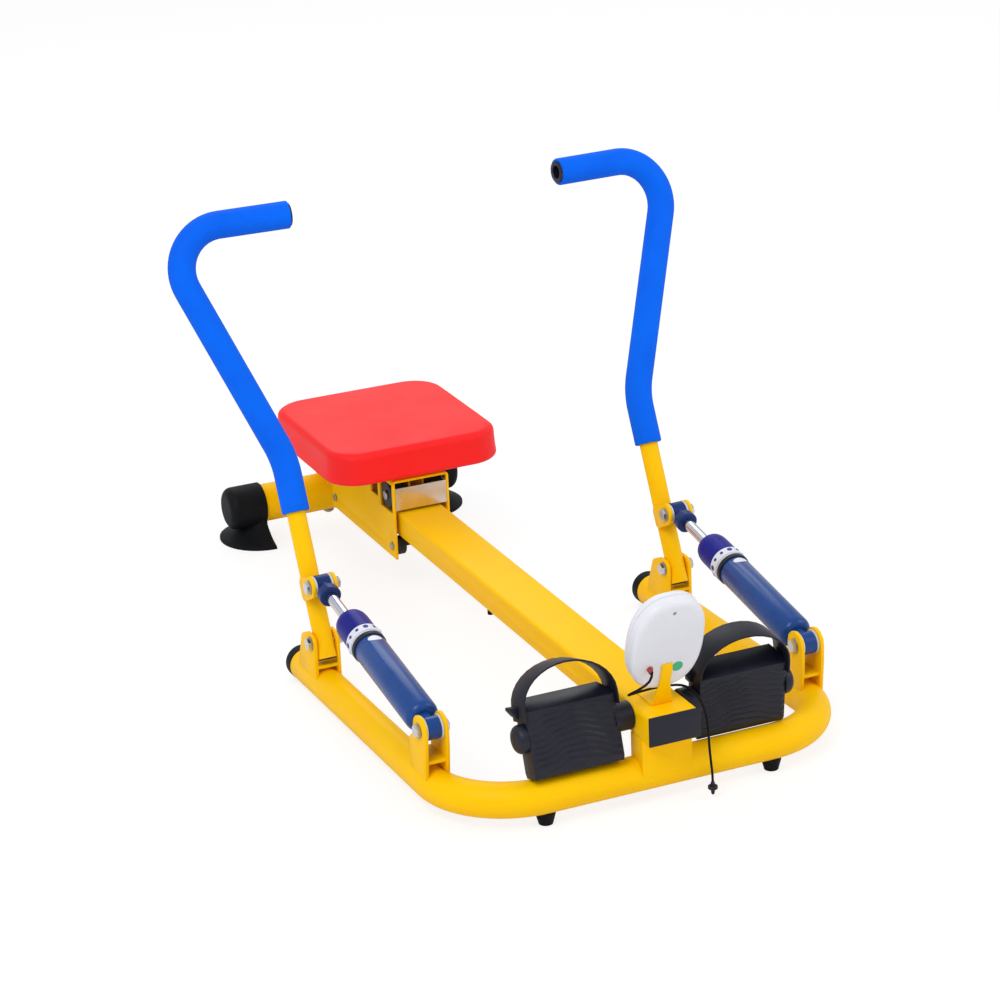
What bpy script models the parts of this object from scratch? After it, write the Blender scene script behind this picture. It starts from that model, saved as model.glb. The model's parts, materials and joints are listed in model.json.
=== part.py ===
"""Children's rowing machine with a sliding seat and two handle dampers.

Lengths are in metres and angles in degrees. +Z is up and the floor is z = 0. The front bar lies towards -Y,
the seat towards +Y, and left means -X, as seen from the front. Along the machine, places are given from the
axis of the front bar, and the origin is under the middle of the whole length.
"""
import math

import bmesh
import bpy
from mathutils import Matrix, Vector

# Fits shared by all pieces
GAP = 0.0003
OVERRUN = 0.006
MERGE = 0.00002

# Counts of flat sides
TUBE_SIDES = 18
FOAM_SIDES = 16
ROD_SIDES = 14
HANDLE_SIDES = 12
TURNED_SIDES = 18
FOOT_SIDES = 20
SADDLE_SIDES = 24
SMALL_SIDES = 12
BOLT_SIDES = 10
BORE_SIDES = 8
BEND_STEPS = 5
CORNER_STEPS = 6
OUTLINE_STEPS = 4
CORD_SIDES = 8

# Angles above which an edge stays sharp or is rounded
SHARP_ANGLE = 35
RIM_ANGLE = 60

# Base: U-shaped tube lying on the floor
BASE_TUBE_RADIUS = 0.020
BASE_TUBE_WALL = 0.0018
BAR_HEIGHT = 0.033
ARM_X = 0.231
ARM_LENGTH = 0.478
CORNER_RADIUS = 0.094
ARM_CAP_RADIUS = 0.0204
ARM_CAP_LENGTH = 0.017
ARM_CAP_EDGE = 0.004
ARM_CAP_SPIGOT = 0.022
FRONT_FOOT_X = 0.138
FRONT_FOOT_TOP_RADIUS = 0.0115
FRONT_FOOT_RADIUS = 0.008

# Post and main beam, cut from one rectangular section
BEAM_WIDTH = 0.060
BEAM_HEIGHT = 0.034
BEAM_TOP = 0.1135
BEAM_WALL = 0.002
BEAM_EDGE = 0.004
BEAM_OVERHANG = 0.018
BEAM_REAR = 0.968
POST_DEPTH = 0.028
PLUG_FLANGE = 0.0025
PLUG_LIP = 0.001
PLUG_RISE = 0.0015
PLUG_SPIGOT = 0.014
STOP_Y = 0.402
STOP_X = -0.021
STOP_RADIUS = 0.0036
STOP_HEIGHT = 0.010
STOP_STUD_RADIUS = 0.002

# Rear stand
STAND_Y = 0.948
STAND_HEIGHT = 0.046
STAND_TUBE_RADIUS = 0.025
STAND_TUBE_WALL = 0.002
STAND_CAP_RADIUS = 0.0285
STAND_CAP_INNER_X = 0.114
STAND_CAP_OUTER_X = 0.1635
STAND_CAP_END = 0.005
STAND_CAP_EDGE = 0.011
CAP_ROUND_SHARE = 0.3
STAND_FOOT_X = 0.115
STAND_FOOT_RADIUS = 0.057
STAND_FOOT_EDGE = 0.003
FLARE_SHARES = ((0.40, 1.0), (0.43, 0.52), (0.56, 0.36), (0.72, 0.22), (0.92, 0.11))
SADDLE_LENGTH = 0.052
SADDLE_WIDTH = 0.040
SADDLE_DEPTH = 0.012
STAND_BOLT_X = 0.019
STAND_BOLT_RADIUS = 0.003
STAND_BOLT_HEAD_RADIUS = 0.0075
STAND_BOLT_HEAD_HEIGHT = 0.005
STAND_NUT_RADIUS = 0.006
STAND_NUT_HEIGHT = 0.005

# Handles: places of the bends, back from the pivot
HANDLE_TUBE_RADIUS = 0.01125
HANDLE_TUBE_WALL = 0.0015
HANDLE_FROM_ARM_END = 0.068
HANDLE_PIVOT_Z = 0.077
HANDLE_TAIL = 0.0205
MID_BEND_BACK = 0.0945
MID_BEND_Z = 0.274
TOP_BEND_X = 0.3335
TOP_BEND_BACK = 0.1996
TOP_BEND_Z = 0.5373
GRIP_END_X = 0.1746
GRIP_END_BACK = 0.184
GRIP_END_Z = 0.5403
MID_BEND_RADIUS = 0.110
TOP_BEND_RADIUS = 0.052
FOAM_RADIUS = 0.0165
FOAM_START = 0.154

# Damper: places along its axis, from the lower pivot, as made; they stretch with the distance of its pivots
CLEVIS_PIVOT_Y = 0.0863
CLEVIS_PIVOT_Z = 0.0985
ROD_PIVOT_RISE = 0.063
ROD_PIVOT_AHEAD = 0.0375
LOWER_EYE_RADIUS = 0.013
LOWER_EYE_WIDTH = 0.0185
BODY_NECK_RADIUS = 0.009
BODY_START = 0.018
BODY_SHOULDER = 0.025
BODY_END = 0.172
BODY_RADIUS = 0.0193
BODY_BORE_RADIUS = 0.0150
BODY_BORE_START = 0.032
SEAL_RING_END = 0.179
SEAL_RING_RADIUS = 0.0205
GUIDE_RADIUS = 0.0145
GUIDE_END = 0.2225
SCALE_END = 0.1935
SCALE_START = 0.1815
SCALE_RADIUS = 0.021
SLEEVE_WALL = 0.002
COLLAR_RADIUS = 0.0198
COLLAR_SHOULDER = 0.2255
COLLAR_END = 0.2355
COLLAR_TOP_RADIUS = 0.0130
ROD_RADIUS = 0.0067
PISTON_START = 0.112
PISTON_END = 0.124
BOSS_RADIUS = 0.0110
BOSS_NECK_RADIUS = 0.0082
BOSS_LENGTH = 0.0289
ROD_SOCKET_LENGTH = 0.0229
ROD_SHOWN = 0.0569
ROD_EYE_RADIUS = 0.0125
ROD_EYE_WIDTH = 0.0168
ROD_EYE_BORE_RADIUS = 0.0081

# Brackets and bolts at the three pivots of each side
PIVOT_BOLT_RADIUS = 0.004
PIVOT_HEAD_RADIUS = 0.0075
PIVOT_HEAD_HEIGHT = 0.0045
PIVOT_DOME_HEIGHT = 0.0015
DOME_SHARE = 0.6
EAR_THICKNESS = 0.004
EAR_ROUND_SHARE = 0.95
EYE_EAR_CLEARANCE = 0.0012
TUBE_EAR_CLEARANCE = 0.0009
CLEVIS_EAR_RADIUS = 0.0165
CLEVIS_FRONT = 0.012
CLEVIS_REAR = 0.029
CLEVIS_REAR_DROP = 0.018
CLEVIS_WEB_TOP = 0.065
BRACKET_EAR_RADIUS = 0.0110
BRACKET_FRONT = 0.011
BRACKET_REAR = 0.030
BRACKET_FOOT_REAR = 0.052
BRACKET_WEB_TOP = 0.051
WEB_THICKNESS = 0.004
LUG_RADIUS = 0.0125
LUG_LOW = 0.049
LUG_HIGH = 0.077
LUG_BACK = 0.003
LUG_WELD = 0.0007

# Seat and carriage
SEAT_FRONT = 0.647
SEAT_REAR = 0.893
SEAT_WIDTH = 0.232
SEAT_BOTTOM = 0.1613
SEAT_EDGE_TOP = 0.2025
SEAT_TOP_ROUND = 0.008
SEAT_LOW_ROUND = 0.006
SEAT_TAPER = 0.0025
SEAT_CORNER_SHARE = 0.2
SEAT_CROWN = 0.007
PAD_CUTS = 9
RIM_SHARE = 0.586
SEAT_DRAW_IN = 0.002
BOARD_INSET = 0.016
BOARD_THICKNESS = 0.0036
CARRIAGE_HALF_WIDTH = 0.038
CARRIAGE_SHEET = 0.003
CARRIAGE_FOLD = 0.004
CARRIAGE_BOTTOM = 0.052
CARRIAGE_FRONT_INSET = 0.010
CARRIAGE_REAR_INSET = 0.017
UPPER_ROLLER_RADIUS = 0.0177
UPPER_ROLLER_INNER_X = 0.014
UPPER_ROLLER_OUTER_X = 0.0366
UPPER_AXLE_INSET = 0.025
UPPER_AXLE_RADIUS = 0.0035
UPPER_AXLE_HEAD_RADIUS = 0.006
UPPER_AXLE_HEAD_HEIGHT = 0.0035
WINDOW_CLEARANCE = 0.0012
WINDOW_EXTRA_LENGTH = 0.0022
REAR_WINDOW_GAP = 0.008
REAR_WINDOW_LENGTH = 0.024
REAR_WINDOW_HEIGHT = 0.022
HANGER_X = 0.008
HANGER_THICKNESS = 0.0025
HANGER_BELOW_AXLE = 0.009
HANGER_BEYOND_AXLE = 0.010
LOWER_ROLLER_RADIUS = 0.012
LOWER_ROLLER_INNER_X = 0.020
LOWER_AXLE_INSET = 0.011
LOWER_AXLE_RADIUS = 0.003
LOWER_AXLE_HEAD_RADIUS = 0.005
LOWER_AXLE_HEAD_HEIGHT = 0.0025
ROLLER_SIDE_CLEARANCE = 0.0008
FRONT_PLATE_BOTTOM = 0.117
FRONT_PLATE_TOP = 0.1465
FRONT_PLATE_SHEET = 0.002
FRONT_PLATE_FLANGE = 0.0045

# Pedals
SHAFT_Y = 0.010
SHAFT_HEIGHT = 0.100
SHAFT_RADIUS = 0.006
PEDAL_INNER_X = 0.0485
PEDAL_OUTER_X = 0.155
PEDAL_HEIGHT = 0.086
PEDAL_RISE = -0.002
PEDAL_THICKNESS = 0.026
PEDAL_RIB = 0.0014
PEDAL_RIB_COUNT = 9
PEDAL_RIB_MARGIN = 0.005
PEDAL_TOP_DROP = 0.012
PEDAL_TOP_CORNER = 0.008
PEDAL_FOOT_EDGE = 0.0027
PEDAL_BOSS_RADIUS = 0.016
PEDAL_BOSS_SINK = 0.004
LEFT_PEDAL_LEAN = -17.3
RIGHT_PEDAL_LEAN = 5.5
PEDAL_CAP_RADIUS = 0.016
PEDAL_CAP_LENGTH = 0.013
PEDAL_CAP_END = 0.003
PEDAL_CAP_EDGE = 0.003
STRAP_WIDTH = 0.036
STRAP_THICKNESS = 0.002
STRAP_FRONT = -0.018
STRAP_FOOT = 0.0175
STRAP_APEX = 0.0755
STRAP_SEGMENTS = 16
STUD_RISE = 0.026
STUD_RADIUS = 0.0022
STUD_HEAD_RADIUS = 0.0055
STUD_HEAD_HEIGHT = 0.002
STUD_LENGTH = 0.010
STUD_DOME_SHARE = 0.6

# Display on its bracket
DISPLAY_WIDTH = 0.089
DISPLAY_BOTTOM = 0.133
DISPLAY_HEIGHT = 0.125
DISPLAY_BACK_Y = -0.0130
DISPLAY_LEAN = 18.0
REAR_SHELL_DEPTH = 0.014
BEZEL_DEPTH = 0.011
SHELL_WALL = 0.002
DISPLAY_ROUND_SHARE = 0.8
DISPLAY_SIDES = 24
SHELL_ROUND_SHARE = 0.45
SCREEN_WIDTH = 0.060
SCREEN_HEIGHT = 0.038
SCREEN_CENTRE = 0.078
SCREEN_DEPTH = 0.003
BUTTON_RADIUS = 0.008
BUTTON_CENTRE = 0.034
BUTTON_PROUD = 0.002
BUTTON_LIP = 0.0015
BRACKET_SHEET = 0.002
BRACKET_FOOT_FRONT = -0.003
BRACKET_FOOT_LENGTH = 0.030
BRACKET_WIDTH = 0.025
BRACKET_TOP_WIDTH = 0.0125
BRACKET_NARROW_HEIGHT = 0.030
BRACKET_HEIGHT = 0.056

# Sensor cord: points of its route from the front bar, chosen by hand
CORD_RADIUS = 0.0014
CORD_ROUTE = (
    (-0.0205, -0.0238, 0.1648),
    (-0.0209, -0.0300, 0.1628),
    (-0.0275, -0.0360, 0.1564),
    (-0.0370, -0.0330, 0.1490),
    (-0.0420, -0.0220, 0.1405),
    (-0.0390, -0.0080, 0.1320),
    (-0.0270, 0.0030, 0.1270),
    (-0.0110, 0.0115, 0.1235),
    (0.0060, 0.0160, 0.1215),
    (0.0210, 0.0150, 0.1210),
    (0.0330, 0.0080, 0.1215),
    (0.0400, -0.0050, 0.1190),
    (0.0425, -0.0190, 0.1110),
    (0.0432, -0.0290, 0.0980),
    (0.0435, -0.0325, 0.0820),
    (0.0445, -0.0325, 0.0640),
    (0.0460, -0.0325, 0.0460),
    (0.0475, -0.0325, 0.0320),
    (0.0480, -0.0325, 0.0200),
)
CORD_SPANS = 12
CORD_POINTS = 48
JACK_SLEEVE_RADIUS = 0.0025
JACK_SLEEVE_LENGTH = 0.005
JACK_FLANGE_RADIUS = 0.0055
JACK_FLANGE_LENGTH = 0.004
JACK_TIP_RADIUS = 0.0022
JACK_TIP_LENGTH = 0.007

# Worked out from the sizes above
FRONT_REACH = BASE_TUBE_RADIUS + BEAM_OVERHANG + PLUG_FLANGE
REAR_REACH = STAND_Y + STAND_FOOT_RADIUS
BAR_Y = (FRONT_REACH - REAR_REACH) / 2
BEAM_BOTTOM = BEAM_TOP - BEAM_HEIGHT
HANDLE_PIVOT_Y = ARM_LENGTH - HANDLE_FROM_ARM_END
MID_BEND_Y = HANDLE_PIVOT_Y + MID_BEND_BACK
TOP_BEND_Y = HANDLE_PIVOT_Y + TOP_BEND_BACK
GRIP_END_Y = HANDLE_PIVOT_Y + GRIP_END_BACK
STRAP_SPRING = PEDAL_RISE + PEDAL_HEIGHT / 2 - PEDAL_TOP_CORNER
DAMPER_MADE_LENGTH = COLLAR_END + ROD_SHOWN + BOSS_LENGTH
ARM_CONTACT = ARM_LENGTH + ARM_CAP_LENGTH - ARM_CAP_EDGE
ARM_FALL = math.asin((BAR_HEIGHT - ARM_CAP_RADIUS) / ARM_CONTACT)
POST_FRONT = -BASE_TUBE_RADIUS
UPPER_AXLE_HEIGHT = BEAM_TOP + GAP + UPPER_ROLLER_RADIUS
LOWER_AXLE_HEIGHT = BEAM_BOTTOM - GAP - LOWER_ROLLER_RADIUS
CARRIAGE_TOP = SEAT_BOTTOM - GAP - BOARD_THICKNESS - GAP
CARRIAGE_FRONT = SEAT_FRONT + CARRIAGE_FRONT_INSET
CARRIAGE_REAR = SEAT_REAR - CARRIAGE_REAR_INSET
EYE_EAR_INNER = LOWER_EYE_WIDTH / 2 + EYE_EAR_CLEARANCE
HANDLE_EAR_INNER = HANDLE_TUBE_RADIUS + TUBE_EAR_CLEARANCE
LUG_INNER = HANDLE_TUBE_RADIUS + GAP

X_AXIS = Vector((1, 0, 0))
Y_AXIS = Vector((0, 1, 0))
Z_AXIS = Vector((0, 0, 1))
SIDES = (("left", -1), ("right", 1))

# Colours, roughness and metallic value of each finish
FINISHES = {
    "yellow_paint": ((1.0, 0.55, 0.0, 1), 0.32, 0.0),
    "black_rubber": ((0.015, 0.017, 0.022, 1), 0.7, 0.0),
    "black_plastic": ((0.012, 0.014, 0.02, 1), 0.45, 0.0),
    "blue_foam": ((0.005, 0.12, 0.85, 1), 0.8, 0.0),
    "blue_paint": ((0.012, 0.06, 0.27, 1), 0.3, 0.0),
    "deep_blue_plastic": ((0.012, 0.01, 0.22, 1), 0.35, 0.0),
    "white_plastic": ((0.8, 0.8, 0.86, 1), 0.4, 0.0),
    "bare_steel": ((0.6, 0.6, 0.6, 1), 0.35, 1.0),
    "chrome": ((0.85, 0.85, 0.88, 1), 0.1, 1.0),
    "red_vinyl": ((1.0, 0.06, 0.06, 1), 0.5, 0.0),
    "board": ((0.3, 0.2, 0.1, 1), 0.8, 0.0),
    "dark_glass": ((0.03, 0.05, 0.04, 1), 0.1, 0.0),
}


def clear_scene():
    """Remove every object that the scene holds."""
    for obj in list(bpy.data.objects):
        bpy.data.objects.remove(obj, do_unlink=True)


def new_collection(name):
    """Add a collection to the scene."""
    collection = bpy.data.collections.new(name)
    bpy.context.scene.collection.children.link(collection)
    return collection


def from_bar(x, y, z):
    """Turn a place given from the front bar's axis into a point."""
    return Vector((x, BAR_Y + y, z))


def material(name, finish):
    """Make one piece's own material from a named finish."""
    colour, roughness, metallic = FINISHES[finish]
    made = bpy.data.materials.new(name)
    made.use_nodes = True
    shader = made.node_tree.nodes["Principled BSDF"]
    shader.inputs["Base Color"].default_value = colour
    shader.inputs["Roughness"].default_value = roughness
    shader.inputs["Metallic"].default_value = metallic
    made.diffuse_color = colour
    return made


def mesh_object(name, bm):
    """Turn a bmesh into an object that no collection holds yet."""
    bmesh.ops.recalc_face_normals(bm, faces=bm.faces)
    mesh = bpy.data.meshes.new(name)
    bm.to_mesh(mesh)
    bm.free()
    return bpy.data.objects.new(name, mesh)


def side_axes(direction):
    """Give a rotation whose local Z follows a direction, with local X along world X where it can."""
    z = direction.normalized()
    across = X_AXIS if abs(z.x) < abs(z.y) + abs(z.z) else Y_AXIS
    y = z.cross(across).normalized()
    x = y.cross(z)
    return Matrix((x, y, z)).transposed().to_4x4()


def placed(obj, origin, direction=Z_AXIS):
    """Stand an object at a point with its local Z along a direction."""
    obj.matrix_world = Matrix.Translation(origin) @ side_axes(direction)
    return obj


def box(name, low, high, edge=0.0):
    """Make a box between two corners, its long edges rounded where an edge is given."""
    bm = bmesh.new()
    bmesh.ops.create_cube(bm, size=1.0)
    extent = high - low
    bmesh.ops.scale(bm, vec=extent, verts=bm.verts)
    obj = mesh_object(name, bm)
    obj.location = (low + high) / 2
    if edge:
        bevel = obj.modifiers.new("edges", "BEVEL")
        bevel.width = edge
        bevel.segments = 3
        bevel.limit_method = "ANGLE"
    return obj


def rod(name, radius, start, end, sides=BOLT_SIDES):
    """Make a round bar from one point to another."""
    bm = bmesh.new()
    length = (end - start).length
    bmesh.ops.create_cone(
        bm, cap_ends=True, segments=sides, radius1=radius, radius2=radius, depth=length)
    return placed(mesh_object(name, bm), (start + end) / 2, end - start)


def turned(name, profile, origin, direction, sides=TURNED_SIDES):
    """Turn a profile of (radius, place along the axis) points, listed from the top down.

    A profile whose ends are off the axis is closed on itself and makes a ring.
    """
    mesh = bpy.data.meshes.new(name)
    points = [(radius, 0.0, place) for radius, place in profile]
    edges = [(i, i + 1) for i in range(len(points) - 1)]
    if profile[0][0] > 0:
        edges.append((len(points) - 1, 0))
    mesh.from_pydata(points, edges, [])
    obj = bpy.data.objects.new(name, mesh)
    screw = obj.modifiers.new("turn", "SCREW")
    screw.axis = "Z"
    screw.angle = math.tau
    screw.steps = sides
    screw.render_steps = sides
    screw.use_merge_vertices = True
    screw.merge_threshold = MERGE
    return placed(obj, origin, direction)


def curve_as_mesh(obj):
    """Replace a curve object by its mesh, with its caps welded on."""
    bpy.context.scene.collection.objects.link(obj)
    graph = bpy.context.evaluated_depsgraph_get()
    mesh = bpy.data.meshes.new_from_object(obj.evaluated_get(graph))
    bm = bmesh.new()
    bm.from_mesh(mesh)
    bmesh.ops.remove_doubles(bm, verts=bm.verts, dist=MERGE)
    bmesh.ops.recalc_face_normals(bm, faces=bm.faces)
    bm.to_mesh(mesh)
    bm.free()
    name = obj.name
    world = obj.matrix_world.copy()
    bpy.data.objects.remove(obj, do_unlink=True)
    solid = bpy.data.objects.new(name, mesh)
    solid.matrix_world = world
    return solid


def tube(name, route, radius, sides=TUBE_SIDES):
    """Run a round bar along a route of points."""
    curve = bpy.data.curves.new(name, "CURVE")
    curve.dimensions = "3D"
    curve.bevel_depth = radius
    curve.bevel_resolution = sides // 2 - 2
    curve.use_fill_caps = True
    spline = curve.splines.new("POLY")
    spline.points.add(len(route) - 1)
    for point, place in zip(spline.points, route):
        point.co = (*place, 1.0)
    return curve_as_mesh(bpy.data.objects.new(name, curve))


def extended(route, by):
    """Carry both ends of a route on in their own directions."""
    first = route[0] + (route[0] - route[1]).normalized() * by
    last = route[-1] + (route[-1] - route[-2]).normalized() * by
    return [first] + route[1:-1] + [last]


def bend(before, corner, after, radius, steps):
    """Give the points of an arc that rounds a corner of a route."""
    back = (before - corner).normalized()
    on = (after - corner).normalized()
    half = back.angle(on) / 2
    reach = radius / math.tan(half)
    centre = corner + (back + on).normalized() * (radius / math.sin(half))
    start = corner + back * reach - centre
    turn = math.pi - 2 * half
    axis = start.cross(corner + on * reach - centre).normalized()
    return [centre + Matrix.Rotation(turn * i / steps, 3, axis) @ start for i in range(steps + 1)]


def rounded_route(corners, radii, steps=BEND_STEPS):
    """Round the inner corners of an open route."""
    route = [corners[0]]
    for i, radius in enumerate(radii, start=1):
        route += bend(corners[i - 1], corners[i], corners[i + 1], radius, steps)
    return route + [corners[-1]]


def rounded_outline(corners, radii, steps=OUTLINE_STEPS):
    """Round the corners of a closed flat outline; a radius of zero keeps its corner sharp."""
    places = [Vector((u, v, 0)) for u, v in corners]
    outline = []
    for i, radius in enumerate(radii):
        before = places[i - 1]
        after = places[(i + 1) % len(places)]
        arc = bend(before, places[i], after, radius, steps) if radius else [places[i]]
        outline += [(p.x, p.y) for p in arc]
    return outline


def plate(name, outline, thickness, origin, across, up):
    """Make a flat plate from an outline in the plane of two directions, centred on that plane."""
    curve = bpy.data.curves.new(name, "CURVE")
    curve.dimensions = "2D"
    curve.fill_mode = "BOTH"
    curve.extrude = thickness / 2
    spline = curve.splines.new("POLY")
    spline.points.add(len(outline) - 1)
    for point, (u, v) in zip(spline.points, outline):
        point.co = (u, v, 0.0, 1.0)
    spline.use_cyclic_u = True
    solid = curve_as_mesh(bpy.data.objects.new(name, curve))
    axes = Matrix((across, up, across.cross(up))).transposed().to_4x4()
    solid.matrix_world = Matrix.Translation(origin) @ axes
    return solid


class Model:
    """Holds the machine's parts, the shapes that cut or join them, and the empties on its joints."""

    def __init__(self):
        self.parts = new_collection("rowing_machine")
        self.shapes = new_collection("cutters")

    def add(self, obj, finish, smooth=True):
        """Add a finished part with its own material."""
        self.parts.objects.link(obj)
        obj.data.materials.clear()
        obj.data.materials.append(material(obj.name, finish))
        if smooth:
            obj.data.shade_smooth()
            obj.data.set_sharp_from_angle(angle=math.radians(SHARP_ANGLE))
        return obj

    def combine(self, obj, others, operation):
        """Cut other shapes from an object or join them to it."""
        for number, other in enumerate(others):
            if other.name not in self.shapes.objects:
                self.shapes.objects.link(other)
                other.hide_render = True
                other.display_type = "WIRE"
            step = obj.modifiers.new(f"{operation.lower()}_{number}", "BOOLEAN")
            step.operation = operation
            step.solver = "EXACT"
            step.object = other
        return obj

    def cut(self, obj, *others):
        """Cut shapes from an object."""
        return self.combine(obj, others, "DIFFERENCE")

    def join(self, obj, *others):
        """Join shapes to an object as one body."""
        return self.combine(obj, others, "UNION")

    def pivot(self, name, place):
        """Stand an empty on a joint's axis."""
        empty = bpy.data.objects.new(name, None)
        empty.empty_display_size = BASE_TUBE_RADIUS
        empty.location = place
        self.parts.objects.link(empty)
        return empty

    def carry(self, empty, names):
        """Parent named parts to an empty and leave them where they are."""
        bpy.context.view_layer.update()
        for name in names:
            part = bpy.data.objects[name]
            part.parent = empty
            part.matrix_parent_inverse = empty.matrix_world.inverted()


def bolt(name, start, end, radius, head_radius, head_height, dome):
    """Make a pivot bolt whose head and nut stand outside two faces, along +X."""
    reach = (end - start).length
    profile = [
        (0, reach + head_height + dome),
        (head_radius * DOME_SHARE, reach + head_height + dome),
        (head_radius, reach + head_height),
        (head_radius, reach + GAP),
        (radius, reach + GAP),
        (radius, -GAP),
        (head_radius, -GAP),
        (head_radius, -head_height),
        (head_radius * DOME_SHARE, -head_height - dome),
        (0, -head_height - dome),
    ]
    return turned(name, profile, start, end - start, BOLT_SIDES)


def ring(name, outer, inner, start, end, sides=TURNED_SIDES):
    """Make a flat ring from one point to another along its axis."""
    length = (end - start).length
    profile = [(outer, length), (outer, 0), (inner, 0), (inner, length)]
    return turned(name, profile, start, end - start, sides)


def arm_point(side, along, lift=0.0):
    """Give a point on an arm's axis, or lifted square to it, at a distance from the front bar."""
    fall = Vector((0, math.cos(ARM_FALL), -math.sin(ARM_FALL)))
    rise = Vector((0, math.sin(ARM_FALL), math.cos(ARM_FALL)))
    return from_bar(side * ARM_X, 0, BAR_HEIGHT) + fall * along + rise * lift


def base_route():
    """Give the route of the bar and its two arms."""
    corners = [arm_point(-1, ARM_LENGTH), arm_point(-1, 0), arm_point(1, 0), arm_point(1, ARM_LENGTH)]
    return rounded_route(corners, (CORNER_RADIUS, CORNER_RADIUS), CORNER_STEPS)


def bar_shape(name, side_reach):
    """Make the front bar's shape with its gap, as a cutter for what sits on the bar."""
    start = from_bar(-side_reach, 0, BAR_HEIGHT)
    end = from_bar(side_reach, 0, BAR_HEIGHT)
    return rod(name, BASE_TUBE_RADIUS + GAP, start, end, SADDLE_SIDES)


def base_shape(name):
    """Make the shape of the bar and arms with its gap, as a cutter for what sits on an arm."""
    return tube(name, base_route(), BASE_TUBE_RADIUS + GAP)


def build_base(model):
    """Build the U-shaped tube, its arm caps and the two front feet."""
    route = base_route()
    base = tube("base_tube", route, BASE_TUBE_RADIUS)
    bore = tube("base_tube_bore", extended(route, OVERRUN), BASE_TUBE_RADIUS - BASE_TUBE_WALL, SMALL_SIDES)
    model.cut(base, bore)
    for name, side in SIDES:
        cap_end = arm_point(side, ARM_LENGTH + ARM_CAP_LENGTH)
        back = arm_point(side, 0) - arm_point(side, 1)
        spigot_radius = (BASE_TUBE_RADIUS - BASE_TUBE_WALL) * math.cos(math.pi / SMALL_SIDES) - GAP
        flange = ARM_CAP_LENGTH - GAP
        profile = [
            (0, flange + ARM_CAP_SPIGOT),
            (spigot_radius, flange + ARM_CAP_SPIGOT),
            (spigot_radius, flange),
            (ARM_CAP_RADIUS, flange),
            (ARM_CAP_RADIUS, ARM_CAP_EDGE),
            (ARM_CAP_RADIUS - ARM_CAP_EDGE / 3, ARM_CAP_EDGE / 3),
            (ARM_CAP_RADIUS - ARM_CAP_EDGE, 0),
            (0, 0),
        ]
        model.add(turned(f"arm_cap_{name}", profile, cap_end, back), "black_rubber")

        foot_place = from_bar(side * FRONT_FOOT_X, 0, 0)
        profile = [
            (0, BAR_HEIGHT),
            (FRONT_FOOT_TOP_RADIUS, BAR_HEIGHT),
            (FRONT_FOOT_TOP_RADIUS, BAR_HEIGHT - BASE_TUBE_RADIUS),
            (FRONT_FOOT_RADIUS, 0),
            (0, 0),
        ]
        foot = turned(f"front_foot_{name}", profile, foot_place, Z_AXIS)
        model.cut(foot, base_shape(f"foot_bar_{name}"))
        model.add(foot, "black_rubber")
    model.add(base, "yellow_paint")


def beam_section(inset):
    """Give the half width, low and high edge of the beam's section, or of its bore."""
    return BEAM_WIDTH / 2 - inset, BEAM_BOTTOM + inset, BEAM_TOP - inset


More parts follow.
